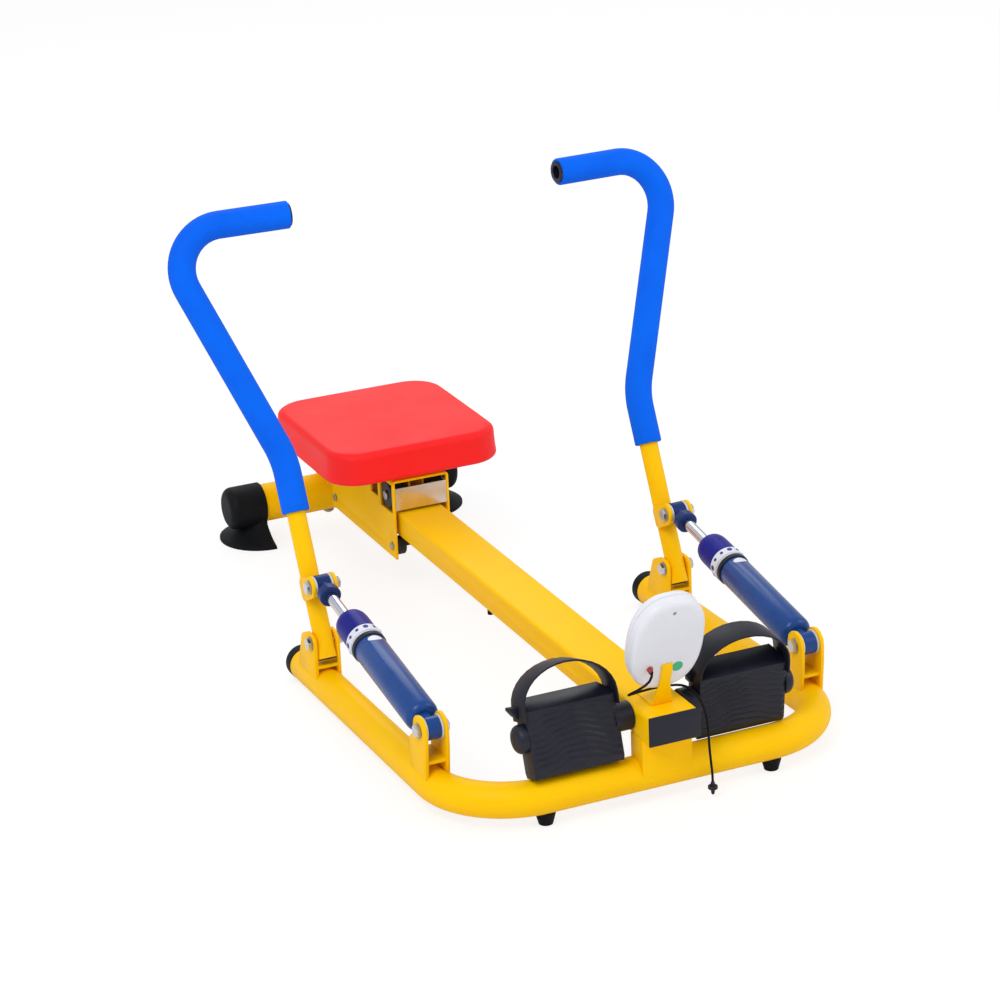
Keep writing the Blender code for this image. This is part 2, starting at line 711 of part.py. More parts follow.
def build_post_and_beam(model):
    """Build the main beam with its welded post and saddle, its end plugs and the stop under it."""
    post = box("front_post", from_bar(-BEAM_WIDTH / 2, POST_FRONT, BAR_HEIGHT),
               from_bar(BEAM_WIDTH / 2, POST_FRONT + POST_DEPTH, BEAM_BOTTOM + BEAM_WALL / 2))
    post_bore = box("post_bore",
                    from_bar(-BEAM_WIDTH / 2 + BEAM_WALL, POST_FRONT + BEAM_WALL, BAR_HEIGHT - OVERRUN),
                    from_bar(BEAM_WIDTH / 2 - BEAM_WALL, POST_FRONT + POST_DEPTH - BEAM_WALL,
                             BEAM_BOTTOM))

    half, low, high = beam_section(0)
    front = POST_FRONT - BEAM_OVERHANG
    outline = rounded_outline(((-half, low), (half, low), (half, high), (-half, high)), (BEAM_EDGE,) * 4, 3)
    length = BEAM_REAR - front
    middle = from_bar(0, front + length / 2, 0)
    beam = plate("main_beam", outline, length, middle, X_AXIS, Z_AXIS)
    half, low, high = beam_section(BEAM_WALL)
    beam_bore = box("beam_bore", from_bar(-half, front - OVERRUN, low),
                    from_bar(half, BEAM_REAR + OVERRUN, high))
    shaft_hole = rod("shaft_hole", SHAFT_RADIUS + GAP, from_bar(-BEAM_WIDTH, SHAFT_Y, SHAFT_HEIGHT),
                     from_bar(BEAM_WIDTH, SHAFT_Y, SHAFT_HEIGHT), SMALL_SIDES)
    stop_place = from_bar(STOP_X, STOP_Y, BEAM_BOTTOM)
    stop_hole = rod("stop_hole", STOP_STUD_RADIUS + GAP, stop_place - Z_AXIS * OVERRUN,
                    stop_place + Z_AXIS * OVERRUN)
    model.cut(beam, beam_bore)
    model.join(beam, post, saddle_shape())
    axis = from_bar(0, STAND_Y, STAND_HEIGHT)
    stand_shape = rod("saddle_tube", STAND_TUBE_RADIUS + GAP, axis - X_AXIS * SADDLE_LENGTH,
                      axis + X_AXIS * SADDLE_LENGTH, SADDLE_SIDES)
    model.cut(beam, post_bore, bar_shape("post_bar", BEAM_WIDTH), stand_shape, shaft_hole, stop_hole)

    bolt_holes = []
    for side in (-1, 1):
        hole = rod(f"stand_bolt_hole_{side}", STAND_BOLT_RADIUS + GAP,
                   from_bar(side * STAND_BOLT_X, STAND_Y, 0),
                   from_bar(side * STAND_BOLT_X, STAND_Y, BEAM_BOTTOM + BEAM_WALL + OVERRUN))
        bolt_holes.append(hole)
    model.cut(beam, *bolt_holes)
    model.add(beam, "yellow_paint")

    ends = (("front", front, -1), ("rear", BEAM_REAR, 1))
    for name, end, way in ends:
        flange_low = from_bar(-BEAM_WIDTH / 2 - PLUG_LIP, end + way * GAP, BEAM_BOTTOM + PLUG_RISE)
        flange_high = from_bar(BEAM_WIDTH / 2 + PLUG_LIP, end + way * PLUG_FLANGE, BEAM_TOP + PLUG_RISE)
        half, low, high = beam_section(BEAM_WALL + GAP)
        spigot_low = from_bar(-half, end + way * PLUG_FLANGE / 2, low)
        spigot_high = from_bar(half, end - way * PLUG_SPIGOT, high)
        flange = box(f"beam_plug_{name}", *ordered(flange_low, flange_high))
        spigot = box(f"beam_plug_{name}_spigot", *ordered(spigot_low, spigot_high))
        model.join(flange, spigot)
        model.add(flange, "black_plastic", smooth=False)

    profile = [
        (0, STOP_STUD_RADIUS * 2),
        (STOP_STUD_RADIUS, STOP_STUD_RADIUS * 2),
        (STOP_STUD_RADIUS, -GAP),
        (STOP_RADIUS, -GAP),
        (STOP_RADIUS, -STOP_HEIGHT),
        (0, -STOP_HEIGHT),
    ]
    model.add(turned("seat_stop", profile, stop_place, Z_AXIS, SMALL_SIDES), "black_rubber")
    return bolt_holes


def saddle_shape():
    """Make the saddle between the beam and the cross tube, before the tube is cut from it."""
    low = STAND_HEIGHT + STAND_TUBE_RADIUS - SADDLE_DEPTH
    return box("rear_saddle", from_bar(-SADDLE_LENGTH / 2, STAND_Y - SADDLE_WIDTH / 2, low),
               from_bar(SADDLE_LENGTH / 2, STAND_Y + SADDLE_WIDTH / 2, BEAM_BOTTOM + BEAM_WALL / 2))


def ordered(one, other):
    """Sort two opposite corners into the lowest and the highest."""
    low = Vector(min(pair) for pair in zip(one, other))
    high = Vector(max(pair) for pair in zip(one, other))
    return low, high


def build_rear_stand(model, bolt_holes):
    """Build the cross tube, its two bolts and the two flared caps."""
    axis = from_bar(0, STAND_Y, STAND_HEIGHT)
    tube_half = STAND_CAP_OUTER_X - STAND_CAP_END - GAP
    stand = rod("rear_cross_tube", STAND_TUBE_RADIUS, axis - X_AXIS * tube_half, axis + X_AXIS * tube_half,
                TURNED_SIDES)
    bore = rod("rear_cross_bore", STAND_TUBE_RADIUS - STAND_TUBE_WALL,
               axis - X_AXIS * (tube_half + OVERRUN), axis + X_AXIS * (tube_half + OVERRUN), TURNED_SIDES)
    model.cut(stand, bore, *bolt_holes)
    model.add(stand, "yellow_paint")

    head_top = STAND_HEIGHT - STAND_TUBE_RADIUS - GAP
    nut_low = BEAM_BOTTOM + BEAM_WALL + GAP
    for name, side in SIDES:
        place = from_bar(side * STAND_BOLT_X, STAND_Y, 0)
        profile = [
            (0, nut_low + STAND_NUT_HEIGHT),
            (STAND_NUT_RADIUS, nut_low + STAND_NUT_HEIGHT),
            (STAND_NUT_RADIUS, nut_low),
            (STAND_BOLT_RADIUS, nut_low),
            (STAND_BOLT_RADIUS, head_top),
            (STAND_BOLT_HEAD_RADIUS, head_top),
            (STAND_BOLT_HEAD_RADIUS, head_top - STAND_BOLT_HEAD_HEIGHT / 2),
            (STAND_BOLT_HEAD_RADIUS / 2, head_top - STAND_BOLT_HEAD_HEIGHT),
            (0, head_top - STAND_BOLT_HEAD_HEIGHT),
        ]
        model.add(turned(f"stand_bolt_{name}", profile, place, Z_AXIS, BOLT_SIDES), "bare_steel")

    for name, side in SIDES:
        length = STAND_CAP_OUTER_X - STAND_CAP_INNER_X
        edge = STAND_CAP_EDGE
        radius = STAND_CAP_RADIUS
        profile = [
            (0, length),
            (radius - edge, length),
            (radius - edge * CAP_ROUND_SHARE, length - edge * CAP_ROUND_SHARE),
            (radius, length - edge),
            (radius, 0),
            (0, 0),
        ]
        cap_start = from_bar(side * STAND_CAP_INNER_X, STAND_Y, STAND_HEIGHT)
        cap = turned(f"rear_foot_cap_{name}", profile, cap_start, X_AXIS * side)
        foot_place = from_bar(side * STAND_FOOT_X, STAND_Y, 0)
        skirt = STAND_FOOT_RADIUS
        height = STAND_HEIGHT
        flare = [(0, height)]
        flare += [(skirt * out_share, height * up_share) for out_share, up_share in FLARE_SHARES]
        flare += [(skirt, STAND_FOOT_EDGE), (skirt, 0), (0, 0)]
        foot = turned(f"rear_foot_flare_{name}", flare, foot_place, Z_AXIS, FOOT_SIDES)
        keep_out = [foot_place.x, foot_place.x - side * 2 * skirt]
        chord = box(f"rear_foot_chord_{name}",
                    Vector((min(keep_out), foot_place.y - 2 * skirt, -OVERRUN)),
                    Vector((max(keep_out), foot_place.y + 2 * skirt, height + OVERRUN)))
        model.cut(foot, chord)
        cap_bore = rod(f"rear_foot_bore_{name}", STAND_TUBE_RADIUS + GAP,
                       cap_start - X_AXIS * side * OVERRUN,
                       from_bar(side * (STAND_CAP_OUTER_X - STAND_CAP_END), STAND_Y, STAND_HEIGHT),
                       TURNED_SIDES)
        model.join(cap, foot)
        model.cut(cap, cap_bore)
        model.add(cap, "black_rubber")


class Handle:
    """Directions and places of one handle and its damper."""

    def __init__(self, side):
        self.side = side
        self.plane_x = side * ARM_X
        self.pivot = from_bar(self.plane_x, HANDLE_PIVOT_Y, HANDLE_PIVOT_Z)
        mid = from_bar(self.plane_x, MID_BEND_Y, MID_BEND_Z)
        self.up = (mid - self.pivot).normalized()
        self.ahead = X_AXIS.cross(self.up) * -1
        if self.ahead.y > 0:
            self.ahead = self.ahead * -1
        top = from_bar(side * TOP_BEND_X, TOP_BEND_Y, TOP_BEND_Z)
        grip = from_bar(side * GRIP_END_X, GRIP_END_Y, GRIP_END_Z)
        self.corners = [self.pivot - self.up * HANDLE_TAIL, mid, top, grip]
        self.rod_pivot = self.pivot + self.up * ROD_PIVOT_RISE + self.ahead * ROD_PIVOT_AHEAD
        self.clevis = from_bar(self.plane_x, CLEVIS_PIVOT_Y, CLEVIS_PIVOT_Z)
        self.damper = (self.rod_pivot - self.clevis).normalized()
        self.damper_length = (self.rod_pivot - self.clevis).length
        self.stretch = self.damper_length / DAMPER_MADE_LENGTH

    def along(self, place):
        """Give a point on the damper's axis."""
        return self.clevis + self.damper * place

    def route(self):
        """Give the tube's route from its lower end to its grip end."""
        return rounded_route(self.corners, (MID_BEND_RADIUS, TOP_BEND_RADIUS))

    def foam_route(self):
        """Give the foam's route, which starts part way up the lower straight."""
        route = self.route()
        return [self.pivot + self.up * FOAM_START] + route[1:]


def across_bolt(name, centre, half_span):
    """Make a bolt along X that clamps a stack of a given half width."""
    return bolt(name, centre - X_AXIS * half_span, centre + X_AXIS * half_span, PIVOT_BOLT_RADIUS,
                PIVOT_HEAD_RADIUS, PIVOT_HEAD_HEIGHT, PIVOT_DOME_HEIGHT)


def across_hole(name, centre, half_span, radius=PIVOT_BOLT_RADIUS + GAP):
    """Make the hole for a bolt along X."""
    reach = X_AXIS * (half_span + OVERRUN)
    return rod(name, radius, centre - reach, centre + reach, SMALL_SIDES)


def ear_pair_bracket(model, name, handle, pivot, outline, inner, web_top, web_span):
    """Make a U bracket: two ears beside a pivot, joined by a web, that sits on its arm."""
    outer = inner + EAR_THICKNESS
    ears = []
    for side in (-1, 1):
        centre = pivot + X_AXIS * side * (inner + EAR_THICKNESS / 2)
        ears.append(plate(f"{name}_ear_{side}", outline, EAR_THICKNESS, centre, Y_AXIS, Z_AXIS))
    web_low = Vector((pivot.x - inner - EAR_THICKNESS / 2, pivot.y + web_span[0], web_top - WEB_THICKNESS))
    web_high = Vector((pivot.x + inner + EAR_THICKNESS / 2, pivot.y + web_span[1], web_top))
    web = box(f"{name}_web", web_low, web_high)
    hole = across_hole(f"{name}_hole", pivot, outer)
    bracket = ears[0]
    bracket.name = name
    model.join(bracket, web, ears[1])
    model.cut(bracket, hole, base_shape(f"{name}_arm"))
    model.add(bracket, "yellow_paint", smooth=False)
    return outer


def build_handle(model, name, side):
    """Build one handle with its bracket, lugs, foam and bolts."""
    handle = Handle(side)
    arm_top = arm_point(side, HANDLE_PIVOT_Y).z
    drop = HANDLE_PIVOT_Z - arm_top
    outline = rounded_outline(
        ((-BRACKET_FRONT, -drop), (BRACKET_FOOT_REAR, -drop), (BRACKET_REAR, BRACKET_EAR_RADIUS / 4),
         (BRACKET_EAR_RADIUS, BRACKET_EAR_RADIUS), (-BRACKET_FRONT, BRACKET_EAR_RADIUS)),
        (0, 0, BRACKET_EAR_RADIUS, BRACKET_EAR_RADIUS, BRACKET_EAR_RADIUS * EAR_ROUND_SHARE), 3)
    outer = ear_pair_bracket(model, f"handle_bracket_{name}", handle, handle.pivot, outline,
                             HANDLE_EAR_INNER, BRACKET_WEB_TOP, (-BRACKET_FRONT, BRACKET_REAR))
    model.add(across_bolt(f"handle_bolt_{name}", handle.pivot, outer + GAP), "chrome")

    route = handle.route()
    steel = tube(f"handle_tube_{name}", route, HANDLE_TUBE_RADIUS, HANDLE_SIDES)
    bore_radius = HANDLE_TUBE_RADIUS - HANDLE_TUBE_WALL
    bore = tube(f"handle_bore_{name}", extended(route, OVERRUN), bore_radius, BORE_SIDES)
    lugs, lug_hole = lug_pair(name, handle)
    model.join(steel, *lugs)
    pivot_hole = across_hole(f"handle_pivot_hole_{name}", handle.pivot, HANDLE_TUBE_RADIUS)
    model.cut(steel, bore, lug_hole, pivot_hole)
    model.add(steel, "yellow_paint")

    foam_route = handle.foam_route()
    foam = tube(f"foam_grip_{name}", foam_route, FOAM_RADIUS, FOAM_SIDES)
    foam_bore = tube(f"foam_bore_{name}", extended(foam_route, OVERRUN), HANDLE_TUBE_RADIUS + GAP,
                     HANDLE_SIDES)
    model.cut(foam, foam_bore)
    model.add(foam, "blue_foam")

    span = LUG_INNER + EAR_THICKNESS + GAP
    model.add(across_bolt(f"rod_bolt_{name}", handle.rod_pivot, span), "chrome")
    return handle


def lug_pair(name, handle):
    """Make the two lug plates on a handle tube, which hold the rod-end bolt, and the hole for it."""
    lug_outline = rounded_outline(
        ((-LUG_BACK, LUG_LOW), (ROD_PIVOT_AHEAD + LUG_RADIUS, ROD_PIVOT_RISE - LUG_RADIUS),
         (ROD_PIVOT_AHEAD + LUG_RADIUS, ROD_PIVOT_RISE + LUG_RADIUS), (-LUG_BACK, LUG_HIGH)),
        (0, LUG_RADIUS * EAR_ROUND_SHARE, LUG_RADIUS * EAR_ROUND_SHARE, 0), 4)
    lugs = []
    hole = across_hole(f"lug_hole_{name}", handle.rod_pivot, LUG_INNER + EAR_THICKNESS)
    thickness = EAR_THICKNESS + LUG_WELD
    for lug_side in (-1, 1):
        centre = handle.pivot + X_AXIS * lug_side * (LUG_INNER - LUG_WELD + thickness / 2)
        lugs.append(plate(f"lug_{name}_{lug_side}", lug_outline, thickness, centre, handle.ahead,
                          handle.up))
    return lugs, hole


def build_damper(model, name, handle):
    """Build one damper: clevis bracket and bolt, cylinder, guide, collar with its scale, rod and eye."""
    arm_top = arm_point(handle.side, CLEVIS_PIVOT_Y).z
    drop = CLEVIS_PIVOT_Z - arm_top
    outline = rounded_outline(
        ((-CLEVIS_FRONT, -drop), (CLEVIS_REAR, -drop), (CLEVIS_REAR, -CLEVIS_REAR_DROP),
         (CLEVIS_EAR_RADIUS, -CLEVIS_EAR_RADIUS / 2), (CLEVIS_EAR_RADIUS, CLEVIS_EAR_RADIUS),
         (-CLEVIS_EAR_RADIUS, CLEVIS_EAR_RADIUS), (-CLEVIS_EAR_RADIUS, -CLEVIS_EAR_RADIUS)),
        (0, 0, CLEVIS_FRONT / 2, 0, CLEVIS_EAR_RADIUS * EAR_ROUND_SHARE,
         CLEVIS_EAR_RADIUS * EAR_ROUND_SHARE, CLEVIS_FRONT / 2), 3)
    outer = ear_pair_bracket(model, f"clevis_bracket_{name}", handle, handle.clevis, outline, EYE_EAR_INNER,
                             CLEVIS_WEB_TOP, (-CLEVIS_FRONT, CLEVIS_REAR))
    model.add(across_bolt(f"clevis_bolt_{name}", handle.clevis, outer + GAP), "chrome")

    clevis = handle.clevis
    axis = handle.damper
    body_end = BODY_END * handle.stretch
    ring_end = SEAL_RING_END * handle.stretch
    guide_end = GUIDE_END * handle.stretch
    scale_start = SCALE_START * handle.stretch
    scale_end = SCALE_END * handle.stretch
    shoulder = COLLAR_SHOULDER * handle.stretch
    collar_end = COLLAR_END * handle.stretch
    piston_start = PISTON_START * handle.stretch
    piston_end = PISTON_END * handle.stretch
    boss_start = handle.damper_length - BOSS_LENGTH
    socket_start = handle.damper_length - ROD_SOCKET_LENGTH
    profile = [
        (0, body_end),
        (BODY_RADIUS, body_end),
        (BODY_RADIUS, BODY_SHOULDER),
        ((BODY_RADIUS + BODY_NECK_RADIUS) / 2, BODY_START),
        (BODY_NECK_RADIUS, BODY_START),
        (BODY_NECK_RADIUS, 0),
        (0, 0),
    ]
    body = turned(f"damper_body_{name}", profile, clevis, axis)
    half_eye = X_AXIS * LOWER_EYE_WIDTH / 2
    eye = rod(f"lower_eye_{name}", LOWER_EYE_RADIUS, clevis - half_eye, clevis + half_eye, FOAM_SIDES)
    eye_hole = across_hole(f"lower_eye_hole_{name}", clevis, LOWER_EYE_WIDTH / 2)
    chamber = rod(f"damper_chamber_{name}", BODY_BORE_RADIUS, handle.along(BODY_BORE_START),
                  handle.along(body_end + OVERRUN), TUBE_SIDES)
    model.join(body, eye)
    model.cut(body, eye_hole, chamber)
    model.add(body, "blue_paint")

    rod_bore = ROD_RADIUS + GAP
    profile = [
        (GUIDE_RADIUS, guide_end),
        (GUIDE_RADIUS, ring_end),
        (SEAL_RING_RADIUS, ring_end),
        (SEAL_RING_RADIUS, body_end + GAP),
        (rod_bore, body_end + GAP),
        (rod_bore, guide_end),
    ]
    model.add(turned(f"damper_guide_{name}", profile, clevis, axis), "black_plastic")

    sleeve_radius = GUIDE_RADIUS + GAP
    sleeve_outer = sleeve_radius + SLEEVE_WALL
    profile = [
        (COLLAR_TOP_RADIUS, collar_end),
        (COLLAR_RADIUS - SLEEVE_WALL / 2, collar_end - SLEEVE_WALL),
        (COLLAR_RADIUS, shoulder),
        (COLLAR_RADIUS, scale_end),
        (SCALE_RADIUS, scale_end),
        (SCALE_RADIUS, scale_start),
        (sleeve_outer, scale_start),
        (sleeve_outer, ring_end + GAP),
        (sleeve_radius, ring_end + GAP),
        (sleeve_radius, guide_end + GAP),
        (rod_bore, guide_end + GAP),
        (rod_bore, collar_end),
    ]
    model.add(turned(f"adjusting_collar_{name}", profile, clevis, axis), "deep_blue_plastic")

    piston_radius = BODY_BORE_RADIUS - 2 * GAP
    profile = [
        (0, socket_start),
        (ROD_RADIUS, socket_start),
        (ROD_RADIUS, piston_end),
        (piston_radius, piston_end),
        (piston_radius, piston_start),
        (0, piston_start),
    ]
    model.add(turned(f"damper_rod_{name}", profile, clevis, axis, ROD_SIDES), "chrome")

    end = handle.damper_length
    eye_centre = handle.rod_pivot
    half_eye = X_AXIS * ROD_EYE_WIDTH / 2
    rod_eye = rod(f"rod_eye_{name}", ROD_EYE_RADIUS, eye_centre - half_eye, eye_centre + half_eye,
                  FOAM_SIDES)
    boss_reach = end - ROD_EYE_BORE_RADIUS
    boss = rod(f"rod_boss_{name}", BOSS_NECK_RADIUS, handle.along(boss_start), handle.along(boss_reach),
               SMALL_SIDES)
    boss_foot = rod(f"rod_boss_foot_{name}", BOSS_RADIUS, handle.along(boss_start),
                    handle.along(end - ROD_EYE_RADIUS), ROD_SIDES)
    socket = rod(f"rod_socket_{name}", rod_bore, handle.along(boss_start - OVERRUN),
                 handle.along(socket_start + GAP), ROD_SIDES)
    eye_hole = across_hole(f"rod_eye_hole_{name}", eye_centre, ROD_EYE_WIDTH / 2, ROD_EYE_BORE_RADIUS)
    model.join(rod_eye, boss, boss_foot)
    model.cut(rod_eye, eye_hole, socket)
    model.add(rod_eye, "blue_paint")


def cushion(name, half_width, half_length, low, high, corner):
    """Make a crowned cushion with rounded rims and corners, whose sides taper and draw in."""
    bm = bmesh.new()
    bmesh.ops.create_cube(bm, size=2)
    flat_edges = [e for e in bm.edges if abs(e.verts[0].co.z - e.verts[1].co.z) < 1]
    bmesh.ops.subdivide_edges(bm, edges=flat_edges, cuts=PAD_CUTS, use_grid_fill=True)
    rim = SEAT_TOP_ROUND / 2
    levels = (
        (low, SEAT_LOW_ROUND),
        (low + SEAT_LOW_ROUND, 0),
        ((low + high) / 2, SEAT_TAPER / 2),
        (high - SEAT_TOP_ROUND, SEAT_TAPER),
        (high - rim * RIM_SHARE, SEAT_TAPER + rim * RIM_SHARE),
        (high, SEAT_TAPER + SEAT_TOP_ROUND),
    )
    upright_edges = [e for e in bm.edges if abs(e.verts[0].co.z - e.verts[1].co.z) > 1]
    bmesh.ops.subdivide_edges(bm, edges=upright_edges, cuts=len(levels) - 2, use_grid_fill=True)
    quarter = math.pi / 2
    for vert in bm.verts:
        u = math.sin(vert.co.x * quarter)
        v = math.sin(vert.co.y * quarter)
        height = (vert.co.z + 1) / 2
        z, inset = levels[round(height * (len(levels) - 1))]
        x = u * half_width
        y = v * half_length
        over_x = max(abs(x) - (half_width - corner), 0)
        over_y = max(abs(y) - (half_length - corner), 0)
        if over_x and over_y:
            scale = max(over_x, over_y) / math.hypot(over_x, over_y)
            x = math.copysign(half_width - corner + over_x * scale, x)
            y = math.copysign(half_length - corner + over_y * scale, y)
        inset += SEAT_DRAW_IN * math.sin(math.pi * height)
        x -= inset * x / half_width
        y -= inset * y / half_length
        if height == 1:
            z += SEAT_CROWN * (1 - u * u) * (1 - v * v)
        vert.co = (x, y, z)
    return mesh_object(name, bm)


def build_seat(model):
    """Build the cushion and its board."""
    length = SEAT_REAR - SEAT_FRONT
    centre_y = (SEAT_FRONT + SEAT_REAR) / 2
    corner = SEAT_CORNER_SHARE * length
    pad = cushion("seat_pad", SEAT_WIDTH / 2, length / 2, SEAT_BOTTOM, SEAT_EDGE_TOP, corner)
    pad.location = from_bar(0, centre_y, 0)
    model.add(pad, "red_vinyl")

    half_x = SEAT_WIDTH / 2 - BOARD_INSET
    half_y = length / 2 - BOARD_INSET
    corners = ((-half_x, -half_y), (half_x, -half_y), (half_x, half_y), (-half_x, half_y))
    outline = rounded_outline(corners, (corner - BOARD_INSET,) * 4)
    board_middle = from_bar(0, centre_y, SEAT_BOTTOM - GAP - BOARD_THICKNESS / 2)
    board = plate("seat_board", outline, BOARD_THICKNESS, board_middle, X_AXIS, Y_AXIS)
    model.add(board, "board", smooth=False)


def axle_places():
    """Give the name and the distance from the bar of each roller axle, front then rear."""
    upper = (("front", CARRIAGE_FRONT + UPPER_AXLE_INSET, 1),
             ("rear", CARRIAGE_REAR - UPPER_AXLE_INSET, -1))
    lower = (("front", CARRIAGE_FRONT + LOWER_AXLE_INSET, 1),
             ("rear", CARRIAGE_REAR - LOWER_AXLE_INSET, -1))
    return upper, lower


def build_carriage(model):
    """Build the sliding carriage with its hangers, its front plate and the four roller sets."""
    half = CARRIAGE_HALF_WIDTH
    sheet = CARRIAGE_SHEET
    low = CARRIAGE_BOTTOM
    top = CARRIAGE_TOP
    outline = rounded_outline(
        ((-half, low), (-half + sheet, low), (-half + sheet, top - sheet), (half - sheet, top - sheet),
         (half - sheet, low), (half, low), (half, top), (-half, top)),
        (0, 0, CARRIAGE_FOLD - sheet, CARRIAGE_FOLD - sheet, 0, 0, CARRIAGE_FOLD, CARRIAGE_FOLD), 3)
    length = CARRIAGE_REAR - CARRIAGE_FRONT
    middle = from_bar(0, (CARRIAGE_FRONT + CARRIAGE_REAR) / 2, 0)
    carriage = plate("seat_carriage", outline, length, middle, X_AXIS, Z_AXIS)

    upper, lower = axle_places()
    cutters = []
    window_half = UPPER_ROLLER_RADIUS + WINDOW_EXTRA_LENGTH
    window_low = UPPER_AXLE_HEIGHT - UPPER_ROLLER_RADIUS - WINDOW_CLEARANCE
    window_high = UPPER_AXLE_HEIGHT + UPPER_ROLLER_RADIUS + WINDOW_CLEARANCE
    for name, y, way in upper:
        cutters.append(box(f"roller_window_{name}",
                           from_bar(-half - OVERRUN, y - window_half, window_low),
                           from_bar(half + OVERRUN, y + window_half, window_high)))
        edges = sorted((y + way * (window_half + REAR_WINDOW_GAP),
                        y + way * (window_half + REAR_WINDOW_GAP + REAR_WINDOW_LENGTH)))
        cutters.append(box(f"slot_window_{name}",
                           from_bar(-half - OVERRUN, edges[0], UPPER_AXLE_HEIGHT - REAR_WINDOW_HEIGHT / 2),
                           from_bar(half + OVERRUN, edges[1], UPPER_AXLE_HEIGHT + REAR_WINDOW_HEIGHT / 2)))
    for name, y, way in lower:
        cutters.append(rod(f"lower_axle_hole_{name}", LOWER_AXLE_RADIUS + GAP,
                           from_bar(-half - OVERRUN, y, LOWER_AXLE_HEIGHT),
                           from_bar(half + OVERRUN, y, LOWER_AXLE_HEIGHT)))
    axle_holes = [across_hole(f"upper_axle_hole_{name}", from_bar(0, y, UPPER_AXLE_HEIGHT), half,
                              UPPER_AXLE_RADIUS + GAP) for name, y, way in upper]
    model.cut(carriage, *cutters)
    model.join(carriage, *axle_hangers(upper))
    model.cut(carriage, *axle_holes)
    model.add(carriage, "yellow_paint", smooth=False)

    web_low = from_bar(-half + sheet + GAP, CARRIAGE_FRONT, FRONT_PLATE_BOTTOM)
    web_high = from_bar(half - sheet - GAP, CARRIAGE_FRONT + FRONT_PLATE_SHEET + FRONT_PLATE_FLANGE,
                        FRONT_PLATE_TOP)
    front_plate = box("carriage_front_plate", web_low, web_high)
    inside_low = web_low + Vector((FRONT_PLATE_SHEET, FRONT_PLATE_SHEET, -OVERRUN))
    inside_high = web_high + Vector((-FRONT_PLATE_SHEET, OVERRUN, OVERRUN))
    model.cut(front_plate, box("front_plate_inside", inside_low, inside_high))
    model.add(front_plate, "bare_steel", smooth=False)

    for name, y, way in upper:
        centre = from_bar(0, y, UPPER_AXLE_HEIGHT)
        rollers = roller_set(f"upper_rollers_{name}", centre, UPPER_ROLLER_RADIUS, UPPER_AXLE_RADIUS,
                             UPPER_ROLLER_INNER_X, UPPER_ROLLER_OUTER_X, UPPER_ROLLER_OUTER_X,
                             UPPER_AXLE_HEAD_RADIUS, UPPER_AXLE_HEAD_HEIGHT)
        model.add(rollers, "black_plastic")
    for name, y, way in lower:
        centre = from_bar(0, y, LOWER_AXLE_HEIGHT)
        rollers = roller_set(f"lower_rollers_{name}", centre, LOWER_ROLLER_RADIUS, LOWER_AXLE_RADIUS,
                             LOWER_ROLLER_INNER_X, half - sheet - ROLLER_SIDE_CLEARANCE, half + GAP,
                             LOWER_AXLE_HEAD_RADIUS, LOWER_AXLE_HEAD_HEIGHT)
        model.add(rollers, "black_plastic")


def axle_hangers(upper):
    """Make the two plates that hang under the carriage's top and hold the upper axles."""
    hangers = []
    for side in (-1, 1):
        inner = side * HANGER_X
        outer = side * (HANGER_X + HANGER_THICKNESS)
        corner = from_bar(inner, upper[0][1] - HANGER_BEYOND_AXLE, UPPER_AXLE_HEIGHT - HANGER_BELOW_AXLE)
        opposite = from_bar(outer, upper[1][1] + HANGER_BEYOND_AXLE, CARRIAGE_TOP - CARRIAGE_SHEET / 2)
        hangers.append(box(f"hanger_{side}", *ordered(corner, opposite)))
    return hangers


def roller_set(name, centre, radius, axle_radius, inner_x, outer_x, head_x, head_radius, head_height):
    """Make two rollers fixed on one axle that turns in its holes, with a head outside each end."""
    half = [(axle_radius, inner_x), (radius, inner_x), (radius, outer_x)]
    if head_x > outer_x:
        half += [(axle_radius, outer_x), (axle_radius, head_x)]
    half += [(head_radius, head_x), (head_radius, head_x + head_height), (0, head_x + head_height)]
    profile = half[::-1] + [(r, -x) for r, x in half]
    return turned(name, profile, centre, X_AXIS, FOAM_SIDES)


def pedal_outline():
    """Give the side view of a pedal: two ribbed faces, a top that rises to the rear and a bevelled foot."""
    half = PEDAL_THICKNESS / 2
    low = PEDAL_RISE - PEDAL_HEIGHT / 2
    high = PEDAL_RISE + PEDAL_HEIGHT / 2
    start = low + PEDAL_RIB_MARGIN
    pitch = (high - PEDAL_TOP_DROP - PEDAL_RIB_MARGIN - start) / PEDAL_RIB_COUNT
    face = []
    for i in range(PEDAL_RIB_COUNT):
        foot = start + i * pitch
        face += [(half, foot), (half + PEDAL_RIB, foot + pitch / 4), (half + PEDAL_RIB, foot + pitch / 2),
                 (half, foot + pitch * 3 / 4)]
    rear = [(half - PEDAL_FOOT_EDGE, low)] + face + [(half, high)]
    front = [(-u, v) for u, v in reversed(face)] + [(PEDAL_FOOT_EDGE - half, low)]
    return rear + [(-half, high - PEDAL_TOP_DROP)] + front


def corner_cutter(name, middle, half_width, side):
    """Make the prism that cuts off one top corner of a pedal."""
    high = PEDAL_RISE + PEDAL_HEIGHT / 2
    wide = half_width + OVERRUN
    reach = PEDAL_TOP_CORNER + 2 * OVERRUN
    outline = [(side * wide, high - PEDAL_TOP_CORNER - OVERRUN),
               (side * wide, high + OVERRUN),
               (side * (wide - reach), high + OVERRUN)]
    if side < 0:
        outline.reverse()
    return plate(name, outline, PEDAL_THICKNESS + 2 * OVERRUN, middle, X_AXIS, Z_AXIS)


def turn_about_shaft(obj, lean):
    """Lean a pedal piece about the pedal shaft."""
    centre = from_bar(0, SHAFT_Y, SHAFT_HEIGHT)
    turn = Matrix.Rotation(math.radians(lean), 4, "X")
    obj.matrix_world = Matrix.Translation(centre) @ turn @ Matrix.Translation(-centre) @ obj.matrix_world
    return obj


